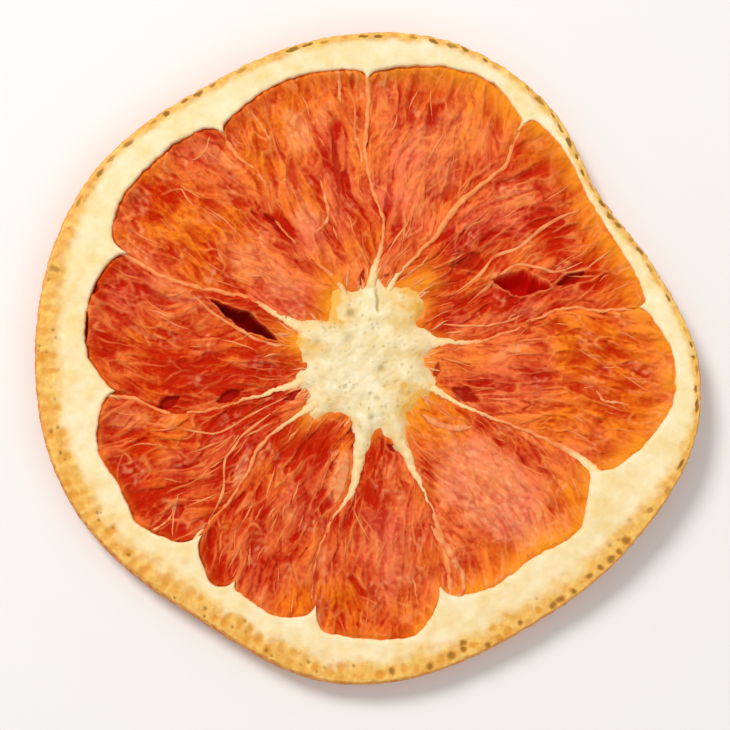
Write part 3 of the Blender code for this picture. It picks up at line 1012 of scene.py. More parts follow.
def cut_glands(angle, depth):
    """Oil glands cut open on the top face: golden hollows, and the dark dots in some of them."""
    arc = arc_of(angle)
    number = np.floor(arc / GLAND_SPACING)
    right = smooth(2.0 * toward(angle, DARK_GLANDS_TOWARD) - 0.6)
    ragged = 0.22 * ripple(arc / 0.5, depth / 0.5, 60)
    _, label, away = cells(arc / 0.9, depth / 0.9, 65)
    dot = smooth((mix(0.12, 0.24, reshuffled(label, 7.9)) - away) / 0.16 + 0.5)
    dot = dot * (label > mix(0.82, 0.96, right)) * mix(0.5, 1.0, reshuffled(label, 3.1))
    gland = np.zeros(arc.shape)
    for row, (middle, left_share, right_share) in enumerate(GLAND_ROWS):
        shift, rise, breadth, height, luck = luck_of(number, row, (61, 62, 63, 64, 60))
        along = (arc / GLAND_SPACING - number - mix(0.36, 0.64, shift)) * GLAND_SPACING
        inward = depth - middle + mix(0.0, 0.15, right) - mix(-0.35, 0.35, rise)
        wide = mix(0.36, 0.7, breadth) * mix(1.0, 0.9, right)
        tall = mix(0.5, 1.1, height) * mix(1.0, 0.55, right)
        inside = 1.0 - np.hypot(along / wide, inward / tall) + ragged
        opened = luck < mix(left_share, right_share, right)
        cut = smooth(inside * mix(1.0, 1.6, right) + 0.28) * opened
        gland = np.maximum(gland, cut * mix(mix(0.35, 0.7, right), 1.0, reshuffled(height, 5.3)))
        dark = (reshuffled(luck, 9.1) > mix(0.97, 0.5, right)) * smooth(inside * 1.7 - 0.1)
        dot = np.maximum(dot, 0.9 * dark * opened)
    in_zest = smooth((zest_width(angle) + 0.3 - depth) / 0.6) * low_left(angle)
    return gland * in_zest, dot * in_zest


def edge_dashes(angle, depth):
    """Long dark oil glands that the cut has split near its outer edge, at the top and the right."""
    arc = arc_of(angle)
    number = np.floor(arc / DASH_SPACING)
    shift, rise, breadth, height, luck = luck_of(number, 0.0, (66, 67, 68, 69, 70))
    along = (arc / DASH_SPACING - number - mix(0.32, 0.68, shift)) * DASH_SPACING
    inward = depth - mix(0.34, 0.62, rise)
    inside = 1.0 - np.hypot(along / mix(0.34, 0.78, breadth), inward / mix(0.16, 0.28, height))
    inside = inside + 0.35 * ripple(arc / 0.45, depth / 0.3, 77)
    return smooth(inside * 1.8 + 0.35) * mix(0.3, 1.0, luck) * (1.0 - low_left(angle))


def rind_masks(angle, depth, on_side):
    """Masks of the rind's colours at a depth in from its top edge."""
    blotch = layered(arc_of(angle) / 1.6, depth / 1.2, 55, 2)
    zest = smooth(1.5 - depth / zest_width(angle) + 0.25 * blotch)
    zest = np.maximum(zest, low_left(angle) * smooth(0.35 + 0.3 * blotch) * 0.42)
    gland, dot = cut_glands(angle, depth)
    dash = edge_dashes(angle, depth)
    skin = 0.4 * smooth(1.25 - depth / (mix(0.14, 0.26, low_left(angle)) + 0.08 * blotch))
    return {
        "zest": np.where(on_side, 1.0, zest),
        "gland": np.where(on_side, 0.0, np.maximum(gland, dash)),
        "dot": np.where(on_side, 0.0, np.maximum(dot, smooth((dash - 0.35) / 0.4))),
        "skin": np.where(on_side, 1.0, skin),
        "wall": np.zeros(angle.shape),
    }


def pith_face(x, y):
    """Height of the dry, spongy cut face of the pith."""
    height = RIM_THICKNESS + 0.10 * layered(x / 6.0, y / 6.0, 71, 2)
    return height + 0.04 * layered(x / 1.5, y / 1.5, 73, 3) + 0.016 * ripple(x / 0.3, y / 0.3, 76)


def cut_height(angle, radius):
    """Height of the rind's cut face, with its opened oil glands and its rounded outer edge."""
    height = pith_face(*plan(angle, radius))
    depth = side_radius(angle, 1.0) - radius
    gland, dot = cut_glands(angle, depth)
    height = height - 0.10 * gland - 0.10 * dot - 0.12 * edge_dashes(angle, depth)
    height = height - 0.10 * smooth(1.0 - depth / 0.8) ** 2
    return height + lift(angle, radius)


def zest_start(angle):
    """Radius on the cut face where the peel's piece takes over from the pith's."""
    return np.maximum(side_radius(angle, 1.0) - 0.8 * zest_width(angle), inner_edge(angle) + 0.45)


# Points of the ring's profile on its inner wall, cut face, back and underside
PITH_WALL = 10
PITH_TOP = 34
PITH_BACK = 3
PITH_UNDER = 11
PITH_PROFILE = PITH_WALL + PITH_TOP + PITH_BACK + PITH_UNDER


def make_pith(material):
    """The cream ring: a scalloped inner wall, a spongy cut face and its underside."""
    blank, angle, number, chart = start_ring(PITH_PROFILE)
    inner = inner_edge(angle)
    outer = zest_start(angle)

    up = number / (PITH_WALL - 1.0)
    wall_radius = inner + 0.12 * ripple(angle / 1.5, up * 2.0, 81) * (1.0 - up) + 0.10 * up ** 6
    wall_top = cut_height(angle, inner + 0.15) - 0.16
    wall_z = mix(0.3 + lift(angle, inner), wall_top, up)

    share = (number - PITH_WALL + 0.7) / PITH_TOP
    top_radius = mix(inner + 0.12, outer + 0.3, share)
    top_z = cut_height(angle, top_radius) - 0.12 * hill(top_radius - inner, 0.28)
    past_outer = top_radius - outer
    top_z = top_z - 0.02 * smooth(past_outer / 0.1) - 0.4 * smooth((past_outer - 0.12) / 0.2)

    down = (number - PITH_WALL - PITH_TOP + 1.0) / (PITH_BACK + 1.0)
    back_z = mix(RIM_THICKNESS - 0.4, 0.3, down) + lift(angle, outer)

    share = (number - PITH_WALL - PITH_TOP - PITH_BACK) / (PITH_UNDER - 1.0)
    under_radius = mix(outer + 0.2, inner + 0.2, share)
    rough = 0.05 * layered(under_radius / 2.0, angle / 4.0, 83, 2)
    under_z = 0.05 + np.abs(rough) + 0.14 * hill(under_radius - inner, 0.4) + lift(angle, under_radius)

    on_wall = number < PITH_WALL
    on_top = number < PITH_WALL + PITH_TOP
    on_back = number < PITH_WALL + PITH_TOP + PITH_BACK
    stages = [on_wall, on_top, on_back]
    radius = np.select(stages, [wall_radius, top_radius, outer + 0.3], under_radius)
    z = np.select(stages, [wall_z, top_z, back_z], under_z)
    masks = rind_masks(angle, side_radius(angle, 1.0) - radius, False)
    ripe = 0.5 * smooth(1.0 - (radius - inner) / 0.22) * smooth(wobble(angle / 2.0, 85) + 0.4)
    # On the inner wall this mask is painted shade, the dark gap between pith and flesh; on the cut face it
    # is the flesh's orange stain at the pith's edge
    masks["wall"] = np.where(on_wall, smooth((0.97 - up) / 0.2), ripe)
    settle(blank, "pith_ring", np.stack([*plan(angle, radius), z], 1), masks, material, chart)


# Points of the peel's profile on its cut edge, side, underside and back
PEEL_TOP = 20
PEEL_SIDE = 24
PEEL_UNDER = 8
PEEL_BACK = 4
PEEL_PROFILE = PEEL_TOP + PEEL_SIDE + PEEL_UNDER + PEEL_BACK


def make_peel(material):
    """The peel: its cut edge with opened oil glands, the pitted side and the lower edge."""
    blank, angle, number, chart = start_ring(PEEL_PROFILE)
    start = zest_start(angle)
    edge = side_radius(angle, 1.0)
    arc = arc_of(angle)

    share = number / (PEEL_TOP - 1.0)
    top_radius = mix(start - 0.3, edge - 0.6 * EDGE_ROUND, share)
    top_z = cut_height(angle, top_radius) - 0.4 * smooth((start - 0.08 - top_radius) / 0.2)

    height = 1.0 - (number - PEEL_TOP + 0.5) / PEEL_SIDE
    rounding = EDGE_ROUND * (np.maximum(2.0 * np.abs(height - 0.5) - 0.76, 0.0) / 0.24) ** 2.2
    _, label, away = cells(arc / 0.8, height * RIM_THICKNESS / 0.8, 63)
    pit = smooth((mix(0.2, 0.42, label) - away) / 0.16 + 0.5)
    leather = 0.04 * layered(arc / 0.5, height * RIM_THICKNESS / 0.5, 91, 2)
    side = side_radius(angle, height) - 0.6 * rounding - 0.10 * pit + leather
    side_top = cut_height(angle, edge - 0.5 * EDGE_ROUND) - 0.08
    side_z = mix(0.08 + lift(angle, rim_radius(angle)), side_top, height)

    share = (number - PEEL_TOP - PEEL_SIDE + 0.5) / PEEL_UNDER
    under_radius = mix(side_radius(angle, 0.0) - 0.8 * EDGE_ROUND, start, share)
    under_z = 0.02 + lift(angle, under_radius)

    share = (number - PEEL_TOP - PEEL_SIDE - PEEL_UNDER + 1.0) / (PEEL_BACK + 1.0)
    back_z = mix(0.1, RIM_THICKNESS - 0.5, share) + lift(angle, start)

    on_top = number < PEEL_TOP
    on_side = ~on_top & (number < PEEL_TOP + PEEL_SIDE)
    on_under = number < PEEL_TOP + PEEL_SIDE + PEEL_UNDER
    stages = [on_top, on_side, on_under]
    radius = np.select(stages, [top_radius, side, under_radius], start - 0.3)
    z = np.select(stages, [top_z, side_z, under_z], back_z)
    masks = rind_masks(angle, edge - radius, on_side)
    down = (1.0 - height) * RIM_THICKNESS
    masks["skin"] = np.where(on_side, smooth(0.35 + down / 1.2), masks["skin"])
    masks["gland"] = np.where(on_side, 0.5 * pit * smooth(down), masks["gland"])
    settle(blank, "peel_skin", np.stack([*plan(angle, radius), z], 1), masks, material, chart)


# ---------------------------------------------------------------- core

# Arms: half width at the tip, how deep in the core each starts, and how many degrees beside it get
# more points; then the radius up to which the core's points are evenly spread
ARM_TIP_HALF_WIDTH = 0.16
ARM_ROOT_DEPTH = 1.0
ARM_CROWDING = 7.0
CORE_BODY = 6.0
# The crack in the core: place across it, half width, depth, and where it starts and ends
CRACK_X = 0.95
CRACK_HALF_WIDTH = 0.13
CRACK_DEPTH = 0.3
CRACK_START = 4.1
CRACK_END = 7.3
# Depth of a pit that takes the pits' full colour; pits and the crack are painted darker by depth as painted
# shade
PIT_SCALE = 0.35


def arm_reach(index, away):
    """How far the core reaches along a membrane, at some degrees beside its middle line."""
    tip = CREAM_ENDS[index]
    root = core_edge(MEMBRANE_ANGLES[index][-1]) - ARM_ROOT_DEPTH
    radius = np.linspace(tip, root, 30)
    share = (tip - radius) / (tip - root)
    beside = np.degrees(mix(ARM_TIP_HALF_WIDTH, 1.15 * MEMBRANE_WIDTHS[index][-1], share ** 0.8) / radius)
    return np.interp(np.abs(away), beside, radius, right=0.0), beside[-1]


def crowded_turns(angle):
    """Angles drawn together towards the arms, so that the arms get more of the core's points."""
    turns = np.arange(0.0, 360.5, 0.5)
    density = np.ones(len(turns))
    for index in ARMS:
        density = density + 3.0 * hill(apart(turns, MEMBRANE_ANGLES[index][-1]), ARM_CROWDING)
    passed = np.concatenate([[0.0], np.cumsum(density[:-1])])
    return np.interp(np.mod(angle, 360.0), passed / passed[-1] * 360.0, turns)


def core_hollows(x, y, inward):
    """Depth of the core's pits, dots, crumbs and crack, and the mask of its crumbs."""
    depth = np.zeros(x.shape)
    for pit_x, pit_y, size, deep in CORE_PITS:
        depth = np.maximum(depth, deep * hill(np.hypot(x - pit_x, y - pit_y), size))
    _, label, away = cells(x / 0.62, y / 0.62, 137)
    dots = smooth((mix(0.1, 0.3, label) - away) / 0.1 + 0.5) * (reshuffled(label, 4.9) > 0.72)
    depth = np.maximum(depth, 0.14 * dots * patchy(x, y, 2.4, 138, 0.5, 1.0))
    _, label, away = cells(x / 0.42 + 0.3 * ripple(x, y, 146), y / 0.42, 143)
    crumbs = smooth((0.34 - away) / 0.2 + 0.5) * (reshuffled(label, 4.9) > 0.5)
    crumbs = crumbs * smooth(2.2 * ripple(x / 2.1 + 0.6, y / 2.1, 147) - 0.5)
    depth = np.maximum(depth, 0.05 * crumbs) * smooth(inward / 0.3)
    crack = hill(x - CRACK_X - 0.25 * wobble(y / 1.2, 133), CRACK_HALF_WIDTH)
    crack = crack * smooth((y - CRACK_START) / 0.6) * smooth((CRACK_END - y) / 0.6)
    return np.maximum(depth, CRACK_DEPTH * crack), crumbs


def make_core(material):
    """The pale pithy middle: a low star-shaped lump with pits and a crack."""
    blank = bmesh.new()
    bmesh.ops.create_icosphere(blank, subdivisions=7, radius=1.0)
    ball = points_of(blank)
    angle = crowded_turns(np.degrees(np.arctan2(ball[:, 1], ball[:, 0])))
    polar = np.arccos(np.clip(ball[:, 2], -1.0, 1.0)) / (math.pi / 2.0)
    upper = polar <= 1.0
    share = np.where(upper, polar, 2.0 - polar)
    body = core_edge(angle) * 1.14
    edge_x, edge_y = plan(angle, body)
    body = body + 0.16 * layered(edge_x / 1.8, edge_y / 1.8, 121, 2)
    reach = body
    holds = []
    for index in ARMS:
        away = apart(angle, MEMBRANE_ANGLES[index][-1])
        arm, root_breadth = arm_reach(index, away)
        reach = np.maximum(reach, arm)
        holds.append(smooth(2.0 - np.abs(away) / root_breadth))
    radius = share * mix(CORE_BODY, reach, share ** 2)
    bent = angle
    for index, hold in zip(ARMS, holds):
        bend = membrane_angle(index, radius) - MEMBRANE_ANGLES[index][-1]
        bent = bent + hold * bend * smooth((radius - 4.0) / 3.0)
    x, y = plan(bent, radius)
    spongy = 0.14 * layered(x / 1.9, y / 1.9, 125, 3) + 0.02 * ripple(x / 0.4, y / 0.4, 128)
    threads = line(x / 2.6 + 2.0, y / 2.6, 130, 0.12) * patchy(x, y, 1.5, 131, 0.0, 1.4)
    spongy = spongy + 0.02 * threads
    at_edge = (1.0 - smooth((1.0 - radius / body) / 0.35)) * smooth(1.6 - 2.0 * (radius / body - 1.0))
    spongy = spongy + 0.05 * layered(x / 0.9, y / 0.9, 149, 2) * at_edge
    shoulder = np.sqrt(np.clip(1.0 - share ** 8, 0.0, 1.0))
    inward = np.clip(1.0 - radius / body, 0.0, 1.0)
    top = MIDDLE + (mix(1.24, CORE_HALF, smooth(inward / 0.45)) + spongy) * shoulder
    pitted, crumbs = core_hollows(x, y, inward)
    below = MIDDLE - (mix(1.0, CORE_HALF, smooth(inward / 0.45)) + 0.6 * spongy) * shoulder
    z = np.where(upper, top - pitted, np.maximum(below, 0.05))
    stained = core_stain(angle)
    ragged = 0.18 * layered(x / 1.3, y / 1.3, 141, 2)
    off_arms = smooth(1.0 - (radius / body - 1.0) / 0.3)
    fringe = smooth((0.37 - inward + ragged) / 0.24) * off_arms
    wash = smooth((0.72 - inward + ragged) / 0.40) * off_arms
    masks = {
        # Painted shade in the pits and crack, deeper ones darker, with the core's own grey-brown dots and
        # crumbs
        "pit": np.clip(np.maximum(pitted / PIT_SCALE, 0.65 * crumbs), 0.0, 1.0),
        "amber": np.clip(fringe * (0.15 + stained) + 0.6 * wash * stained, 0.0, 1.0),
        "thread": threads,
    }

    def chart(corners, starts, face):
        """A bake map of two discs: the core's upper side and its underside."""
        from_top = polar[corners]
        on_top = (np.add.reduceat(ball[corners, 2], starts) > 0.0)[face]
        away = np.where(on_top, from_top, 2.0 - from_top) * 0.24
        turn = np.radians(angle)[corners]
        middle = np.where(on_top, 0.25, 0.75)
        return np.stack([middle + away * np.cos(turn), 0.5 + 2.0 * away * np.sin(turn)], 1)

    settle(blank, "pith_core", np.stack([x, y, z], 1), masks, material, chart)


# ---------------------------------------------------------------- membranes and strands

MEMBRANE_STEPS = 260
MEMBRANE_SIDES = 12
MEMBRANE_START = 3.4
STRAND_STEPS = 56
STRAND_SIDES = 10
# Fibres are doubled this many times from one, and the first of them make the fringe
FIBRE_DOUBLINGS = 8
FIBRE_STEPS = 14
FIBRE_SIDES = 6
FRINGE_FIBRES = 44


def make_membrane(index, material):
    """A thin wall of skin between two segments, with an uneven upper edge."""
    blank = rod_blank(MEMBRANE_SIDES, MEMBRANE_STEPS)
    rod = points_of(blank)
    along = rod[:, 2]
    show = MEMBRANE_SHOWS[index]
    widths = MEMBRANE_WIDTHS[index]
    outer = rim_radius(MEMBRANE_ANGLES[index][0]) - TONGUES[index][0] + 1.0
    inner = core_edge(MEMBRANE_ANGLES[index][-1]) - MEMBRANE_START
    radius = mix(inner, outer, along)
    seed = 300 + 10 * index
    plain = through(show[::-1], along * 4.0)
    plain = plain * (1.0 + 0.4 * wobble(radius / 1.4, seed))
    root_width = widths[-1] * (0.55 if index in ARMS else 1.0)
    half_width = through((root_width, *widths[3::-1]), along * 4.0)
    uneven = mix(0.42, 0.14, smooth(half_width / 0.6))
    half_width = half_width * (1.0 + uneven * wobble(radius / 0.9, seed + 1, 5.0))
    emerging = smooth(along / 0.10)
    half_width = np.maximum(half_width, 0.08) * mix(0.3, 1.0, emerging)
    rise = -0.10 + 0.36 * plain + 0.07 * wobble(radius / 0.7, seed + 2)
    rise = rise - 0.7 * (1.0 - emerging)
    rise = rise + 0.5 * show[0] ** 2 * smooth((radius - outer + 2.6) / 1.8)
    lean = 0.18 * wobble(radius / 1.8, seed + 3, 9.0)
    swerve = 0.07 * wobble(radius / 0.8, seed + 5, 2.0)
    angle = membrane_angle(index, radius)
    turn = np.radians(angle)
    rough = 1.0 + uneven * ripple(radius / 0.35, rod[:, 0] * 2.0, seed + 6)
    side = rod[:, 0] * half_width * rough + swerve + lean * np.maximum(rod[:, 1], 0.0)
    height = np.where(rod[:, 1] > 0.0, rod[:, 1] * np.maximum(rise, 0.04), rod[:, 1] * 0.8)
    x, y = plan(angle, radius)
    x = x - np.sin(turn) * side
    y = y + np.cos(turn) * side
    z = MIDDLE + FLESH_HALF - 0.10 + np.minimum(rise, 0.0) + lift(angle, radius) + height
    rim_cream = mix(1.9, 5.2, smooth(2.0 * widths[0] - 0.6))
    cream = smooth((CREAM_ENDS[index] - radius) / 4.5 + 0.5)
    cream = np.maximum(cream, smooth((radius - outer + rim_cream) / 2.4))
    strand = np.clip(0.3 + 0.5 * plain + 0.3 * ripple(radius / 0.7, side, seed + 4), 0.0, 1.0)
    masks = {
        "cream": cream * (1.0 - 0.5 * rod[:, 0] ** 4),
        "strand": strand * (1.0 - 0.6 * rod[:, 0] ** 4),
    }
    turn_outwards(blank)
    settle(blank, f"membrane_{index + 1:02d}", np.stack([x, y, z], 1), masks, material)


def path_point(path, place):
    """Place on the slice's plan of points along a path."""
    return through([point[0] for point in path], place), through([point[1] for point in path], place)


def make_strands(material):
    """The plainly seen pale strands, each a tapered thread laid on the pulp along its path."""
    blank = bmesh.new()
    pieces = []
    shades = []
    for index, (segment, half_width, path) in enumerate(STRANDS):
        rod_mesh = rod_blank(STRAND_SIDES, STRAND_STEPS)
        rod = points_of(rod_mesh)
        along = rod[:, 2]
        place = along * (len(path) - 1.0)
        x, y = path_point(path, place)
        ahead_x, ahead_y = path_point(path, place + 0.05)
        behind_x, behind_y = path_point(path, place - 0.05)
        length = np.maximum(np.hypot(ahead_x - behind_x, ahead_y - behind_y), 1e-6)
        taper = smooth(along / 0.22) * smooth((1.0 - along) / 0.22)
        uneven = mix(0.5, 0.12, smooth((half_width - 0.3) / 0.3))
        size = half_width * mix(0.15, 0.8, taper)
        size = size * (1.0 + uneven * wobble(along * 9.0, 400 + index))
        wiggle = 0.10 * wobble(along * 7.0, 430 + index, 3.0)
        side = rod[:, 0] * size + wiggle
        x = x - (ahead_y - behind_y) / length * side
        y = y + (ahead_x - behind_x) / length * side
        z = 0.5 * (pulp_height(segment, x, y) + pulp_height(segment, x - side * 0.5, y - side * 0.5))
        z = z + rod[:, 1] * np.minimum(size, 0.3) * 0.35 + 0.01
        pieces.append(np.stack([x, y, z], 1))
        shade = np.clip(0.5 + 0.5 * wobble(along * 8.0, 460 + index), 0.0, 1.0)
        shades.append(shade * (1.0 - 0.5 * rod[:, 0] ** 4))
        part = bpy.data.meshes.new("strand")
        rod_mesh.to_mesh(part)
        rod_mesh.free()
        blank.from_mesh(part)
        bpy.data.meshes.remove(part)
    shades = np.concatenate(shades)
    turn_outwards(blank)
    masks = {"cream": shades * 0.25, "strand": shades}
    settle(blank, "pulp_strands", np.concatenate(pieces), masks, material)


def make_fibres(material):
    """Fine dried threads strewn over the pulp along its grain, and a fringe of them at the core."""
    blank = rod_blank(FIBRE_SIDES, FIBRE_STEPS)
    rod = points_of(blank)
    for _ in range(FIBRE_DOUBLINGS):
        bmesh.ops.duplicate(blank, geom=blank.verts[:] + blank.edges[:] + blank.faces[:])
    count = 2 ** FIBRE_DOUBLINGS
    chance = np.random.default_rng(7)
    spans = np.array([segment_span(index) for index in range(SEGMENTS)])
    segment = chance.choice(SEGMENTS, count, p=spans / spans.sum())
    across = chance.uniform(0.06, 0.94, count)
    begin = np.sqrt(chance.uniform(0.05, 1.0, count)) * 27.0
    tilt = np.radians(chance.normal(0.0, 15.0, count))
    length = chance.uniform(1.2, 4.4, count)
    size = chance.uniform(0.06, 0.14, count)
    fringe = np.arange(count) < FRINGE_FIBRES
    begin[fringe] = 0.0
    length[fringe] = chance.uniform(1.0, 2.6, FRINGE_FIBRES)
    size[fringe] = chance.uniform(0.08, 0.16, FRINGE_FIBRES)
    shade = chance.uniform(0.1, 0.7, count)
    along = rod[:, 2]
    places = np.zeros((count, len(rod), 3))
    for index in range(SEGMENTS):
        mine = np.flatnonzero(segment == index)
        middle = wedge_angle(index, across[mine], np.full(len(mine), 12.0))
        edge = core_edge(middle)
        start = np.where(fringe[mine], edge - 0.5, np.maximum(begin[mine], edge + 0.3))
        radius = start[:, None] + length[mine, None] * np.cos(tilt[mine, None]) * along
        width = wedge_width(index, start)
        offset = (across[mine] - 0.5) * width
        drift = length[mine, None] * np.sin(tilt[mine, None]) * along
        wiggle = 0.14 * ripple(along * 1.8 + mine[:, None] * 7.3, along * 0.0 + mine[:, None], 500)
        beside = offset[:, None] + drift + wiggle
        taper = size[mine, None] * mix(0.15, 1.0, smooth(along / 0.45) * smooth((1.0 - along) / 0.45))
        reach = inner_edge(wedge_angle(index, across[mine], start + length[mine]))
        radius = np.minimum(radius, reach[:, None] - 0.3)
        share = np.clip(0.5 + (beside + rod[:, 0] * taper) / wedge_width(index, radius), 0.02, 0.98)
        x, y = plan(wedge_angle(index, share, radius), radius)
        z = pulp_height(index, x.ravel(), y.ravel()).reshape(x.shape)
        z = z - 0.25 * smooth(-2.0 * blotches(PATCHES, x, y, PATCH_SEED))
        places[mine] = np.stack([x, y, z + rod[:, 1] * taper * 0.7], 2)
    masks = {
        "cream": np.repeat(np.where(fringe, 0.35, 0.05), len(rod)),
        "strand": np.repeat(shade, len(rod)),
    }
    turn_outwards(blank)
    settle(blank, "pulp_fibres", places.reshape(-1, 3), masks, material)


# ---------------------------------------------------------------- materials

# Lumps to a metre in the mottling and in the bump, at size 1
MOTTLE_SCALE = 1000.0
GRIT_SCALE = 4200.0


def screen(red, green, blue):
    """Linear light from an 8-bit screen colour."""
    share = np.array((red, green, blue)) / 255.0
    light = np.where(share <= 0.04045, share / 12.92, ((share + 0.055) / 1.055) ** 2.4)
    return (*light.tolist(), 1.0)


def feed(tree, socket, value):
    """Links a socket to another, or sets it to a plain value."""
    if isinstance(value, bpy.types.NodeSocket):
        tree.links.new(value, socket)
    else:
        socket.default_value = value


def tinted(tree, mask, low, high):
    """A colour between two, by a mask."""
    node = tree.nodes.new("ShaderNodeMix")
    node.data_type = "RGBA"
    feed(tree, node.inputs[0], mask)
    feed(tree, node.inputs[6], low)
    feed(tree, node.inputs[7], high)
    return node.outputs[2]


def sums(tree, operation, first, second):
    node = tree.nodes.new("ShaderNodeMath")
    node.operation = operation
    feed(tree, node.inputs[0], first)
    feed(tree, node.inputs[1], second)
    return node.outputs[0]


def mask_of(tree, label):
    node = tree.nodes.new("ShaderNodeAttribute")
    node.attribute_name = label
    return node.outputs["Fac"]


def laid_over(tree, body, label, share, colour):
    """A colour laid over the body by a share of a named mask."""
    return tinted(tree, sums(tree, "MULTIPLY", mask_of(tree, label), share), body, colour)


def noise(tree, place, scale, detail):
    node = tree.nodes.new("ShaderNodeTexNoise")
    node.inputs["Detail"].default_value = detail
    feed(tree, node.inputs["Vector"], place)
    feed(tree, node.inputs["Scale"], scale)
    return node


def stretched(tree, value, low, high):
    """A value between low and high stretched to the whole of 0 to 1."""
    node = tree.nodes.new("ShaderNodeMapRange")
    node.inputs["From Min"].default_value = low
    node.inputs["From Max"].default_value = high
    feed(tree, node.inputs["Value"], value)
    return node.outputs[0]


def start_group(name, size_label, size, outs):
    """A shader node group with one size going in and named values coming out."""
    tree = bpy.data.node_groups.new(name, "ShaderNodeTree")
    socket = tree.interface.new_socket(size_label, in_out="INPUT", socket_type="NodeSocketFloat")
    socket.default_value = size
    for label in outs:
        tree.interface.new_socket(label, in_out="OUTPUT", socket_type="NodeSocketFloat")
    start = tree.nodes.new("NodeGroupInput")
    end = tree.nodes.new("NodeGroupOutput")
    return tree, start.outputs[size_label], end.inputs


def placed(tree, group, size):
    """What a group puts out in a material, at its size there."""
    node = tree.nodes.new("ShaderNodeGroup")
    node.node_tree = group
    node.inputs[0].default_value = size
    return node.outputs


def dry_grain_group():
    """Fine dry mottling from 0 to 1 and a height for bump, both on object coordinates."""
    tree, size, ends = start_group("dry_grain", "Size", 1.0, ("Mottle", "Height"))
    place = tree.nodes.new("ShaderNodeTexCoord").outputs["Object"]
    coarse = noise(tree, place, sums(tree, "DIVIDE", MOTTLE_SCALE, size), 5.0)
    coarse.inputs["Roughness"].default_value = 0.62
    fine = noise(tree, place, sums(tree, "DIVIDE", GRIT_SCALE, size), 3.0)
    feed(tree, ends["Mottle"], stretched(tree, coarse.outputs["Fac"], 0.3, 0.7))
    feed(tree, ends["Height"], fine.outputs["Fac"])
    return tree


def cell_streak_group():
    """Hair-fine streaks along each juice cell's own grain, from 0 to 1."""
    tree, fineness, ends = start_group("cell_streaks", "Fineness", 5.0, ("Streak",))
    grain_way = tree.nodes.new("ShaderNodeAttribute")
    grain_way.attribute_name = "fibre"
    streaks = noise(tree, grain_way.outputs["Vector"], fineness, 2.0)
    feed(tree, ends["Streak"], stretched(tree, streaks.outputs["Fac"], 0.32, 0.68))
    return tree


def shaded(name, rough, soft, soft_scale, shine=0.2):
    """A material with its Principled shader and fixed settings."""
    material = bpy.data.materials.new(name)
    material.use_nodes = True
    tree = material.node_tree
    shader = tree.nodes["Principled BSDF"]
    shader.inputs["Roughness"].default_value = rough
    shader.inputs["Specular IOR Level"].default_value = shine
    shader.inputs["Subsurface Weight"].default_value = soft
    shader.inputs["Subsurface Radius"].default_value = (1.0, 0.3, 0.1)
    shader.inputs["Subsurface Scale"].default_value = soft_scale
    return material, tree, shader


def bumped(tree, shader, height, distance, strength):
    node = tree.nodes.new("ShaderNodeBump")
    node.inputs["Distance"].default_value = distance
    node.inputs["Strength"].default_value = strength
    feed(tree, node.inputs["Height"], height)
    feed(tree, shader.inputs["Normal"], node.outputs["Normal"])


def pulp_material(grain, streaks):
    """Dried flesh, from dense deep red to ripe orange or pink, with painted shade in its hollows, frost
    with painted glints, and strands.
    """
    material, tree, shader = shaded("dried_pulp", 0.6, 0.12, 0.0004, 0.03)
    mottle, height = placed(tree, grain, 0.7)
    streak = placed(tree, streaks, 4.5)[0]
    pale = mask_of(tree, "pale")
    blush = mask_of(tree, "blush")
    streaky = sums(tree, "MULTIPLY", sums(tree, "SUBTRACT", streak, 0.5), 0.2)
    ripe = tinted(tree, blush, screen(254, 138, 30), screen(248, 118, 80))
    dense = tinted(tree, blush, screen(202, 40, 1), screen(188, 20, 2))
    body = tinted(tree, sums(tree, "ADD", pale, streaky), dense, ripe)
    # Painted shade in the flesh's hollows, creases, groove and pockets
    body = laid_over(tree, body, "shade_in_hollows", 0.7, screen(184, 20, 2))
    body = laid_over(tree, body, "amber", 0.9, screen(250, 154, 34))
    speckle = sums(tree, "ADD", sums(tree, "MULTIPLY", mottle, 0.5), 0.3)
    # Frost, with painted glints, laid over the flesh
    body = laid_over(tree, body, "frost_and_glints", speckle, screen(255, 182, 130))
    body = laid_over(tree, body, "strand", 0.7, screen(255, 152, 80))
    # Torn flesh's deep red, darkened toward maroon as painted shade down the tears and pockets
    torn_and_shaded = tinted(tree, pale, screen(104, 3, 1), screen(214, 16, 5))
    body = tinted(tree, mask_of(tree, "torn_and_shaded"), body, torn_and_shaded)
    feed(tree, shader.inputs["Base Color"], body)
    bumped(tree, shader, sums(tree, "ADD", sums(tree, "MULTIPLY", streak, 0.8), height), 0.00004, 0.6)
    return material


def rind_material(name, grain, rough):
    """Pith, cut zest and skin in one set of colours, so that the pith's and the peel's pieces meet."""
    material, tree, shader = shaded(name, rough, 0.06, 0.0006)
    mottle, height = placed(tree, grain, 2.6)
    speck = placed(tree, grain, 0.8)[0]
    body = tinted(tree, mottle, screen(244, 216, 148), screen(255, 240, 204))
    zest = tinted(tree, speck, screen(226, 150, 42), screen(254, 208, 104))
    skin = tinted(tree, speck, screen(222, 104, 18), screen(246, 146, 44))
    skin = laid_over(tree, skin, "gland", 0.6, screen(150, 62, 12))
    body = laid_over(tree, body, "zest", 0.92, zest)
    body = laid_over(tree, body, "gland", 0.8, screen(224, 142, 28))
    body = laid_over(tree, body, "dot", 0.8, screen(128, 92, 30))
    body = laid_over(tree, body, "skin", 0.85, skin)
    # Painted shade: the pith's inner wall coloured brown-orange like the dark gap between pith and flesh,
    # plus the flesh's stain at its edge
    body = laid_over(tree, body, "wall", 0.8, screen(196, 98, 34))
    feed(tree, shader.inputs["Base Color"], body)
    bumped(tree, shader, height, 0.00006, 0.6)
    return material


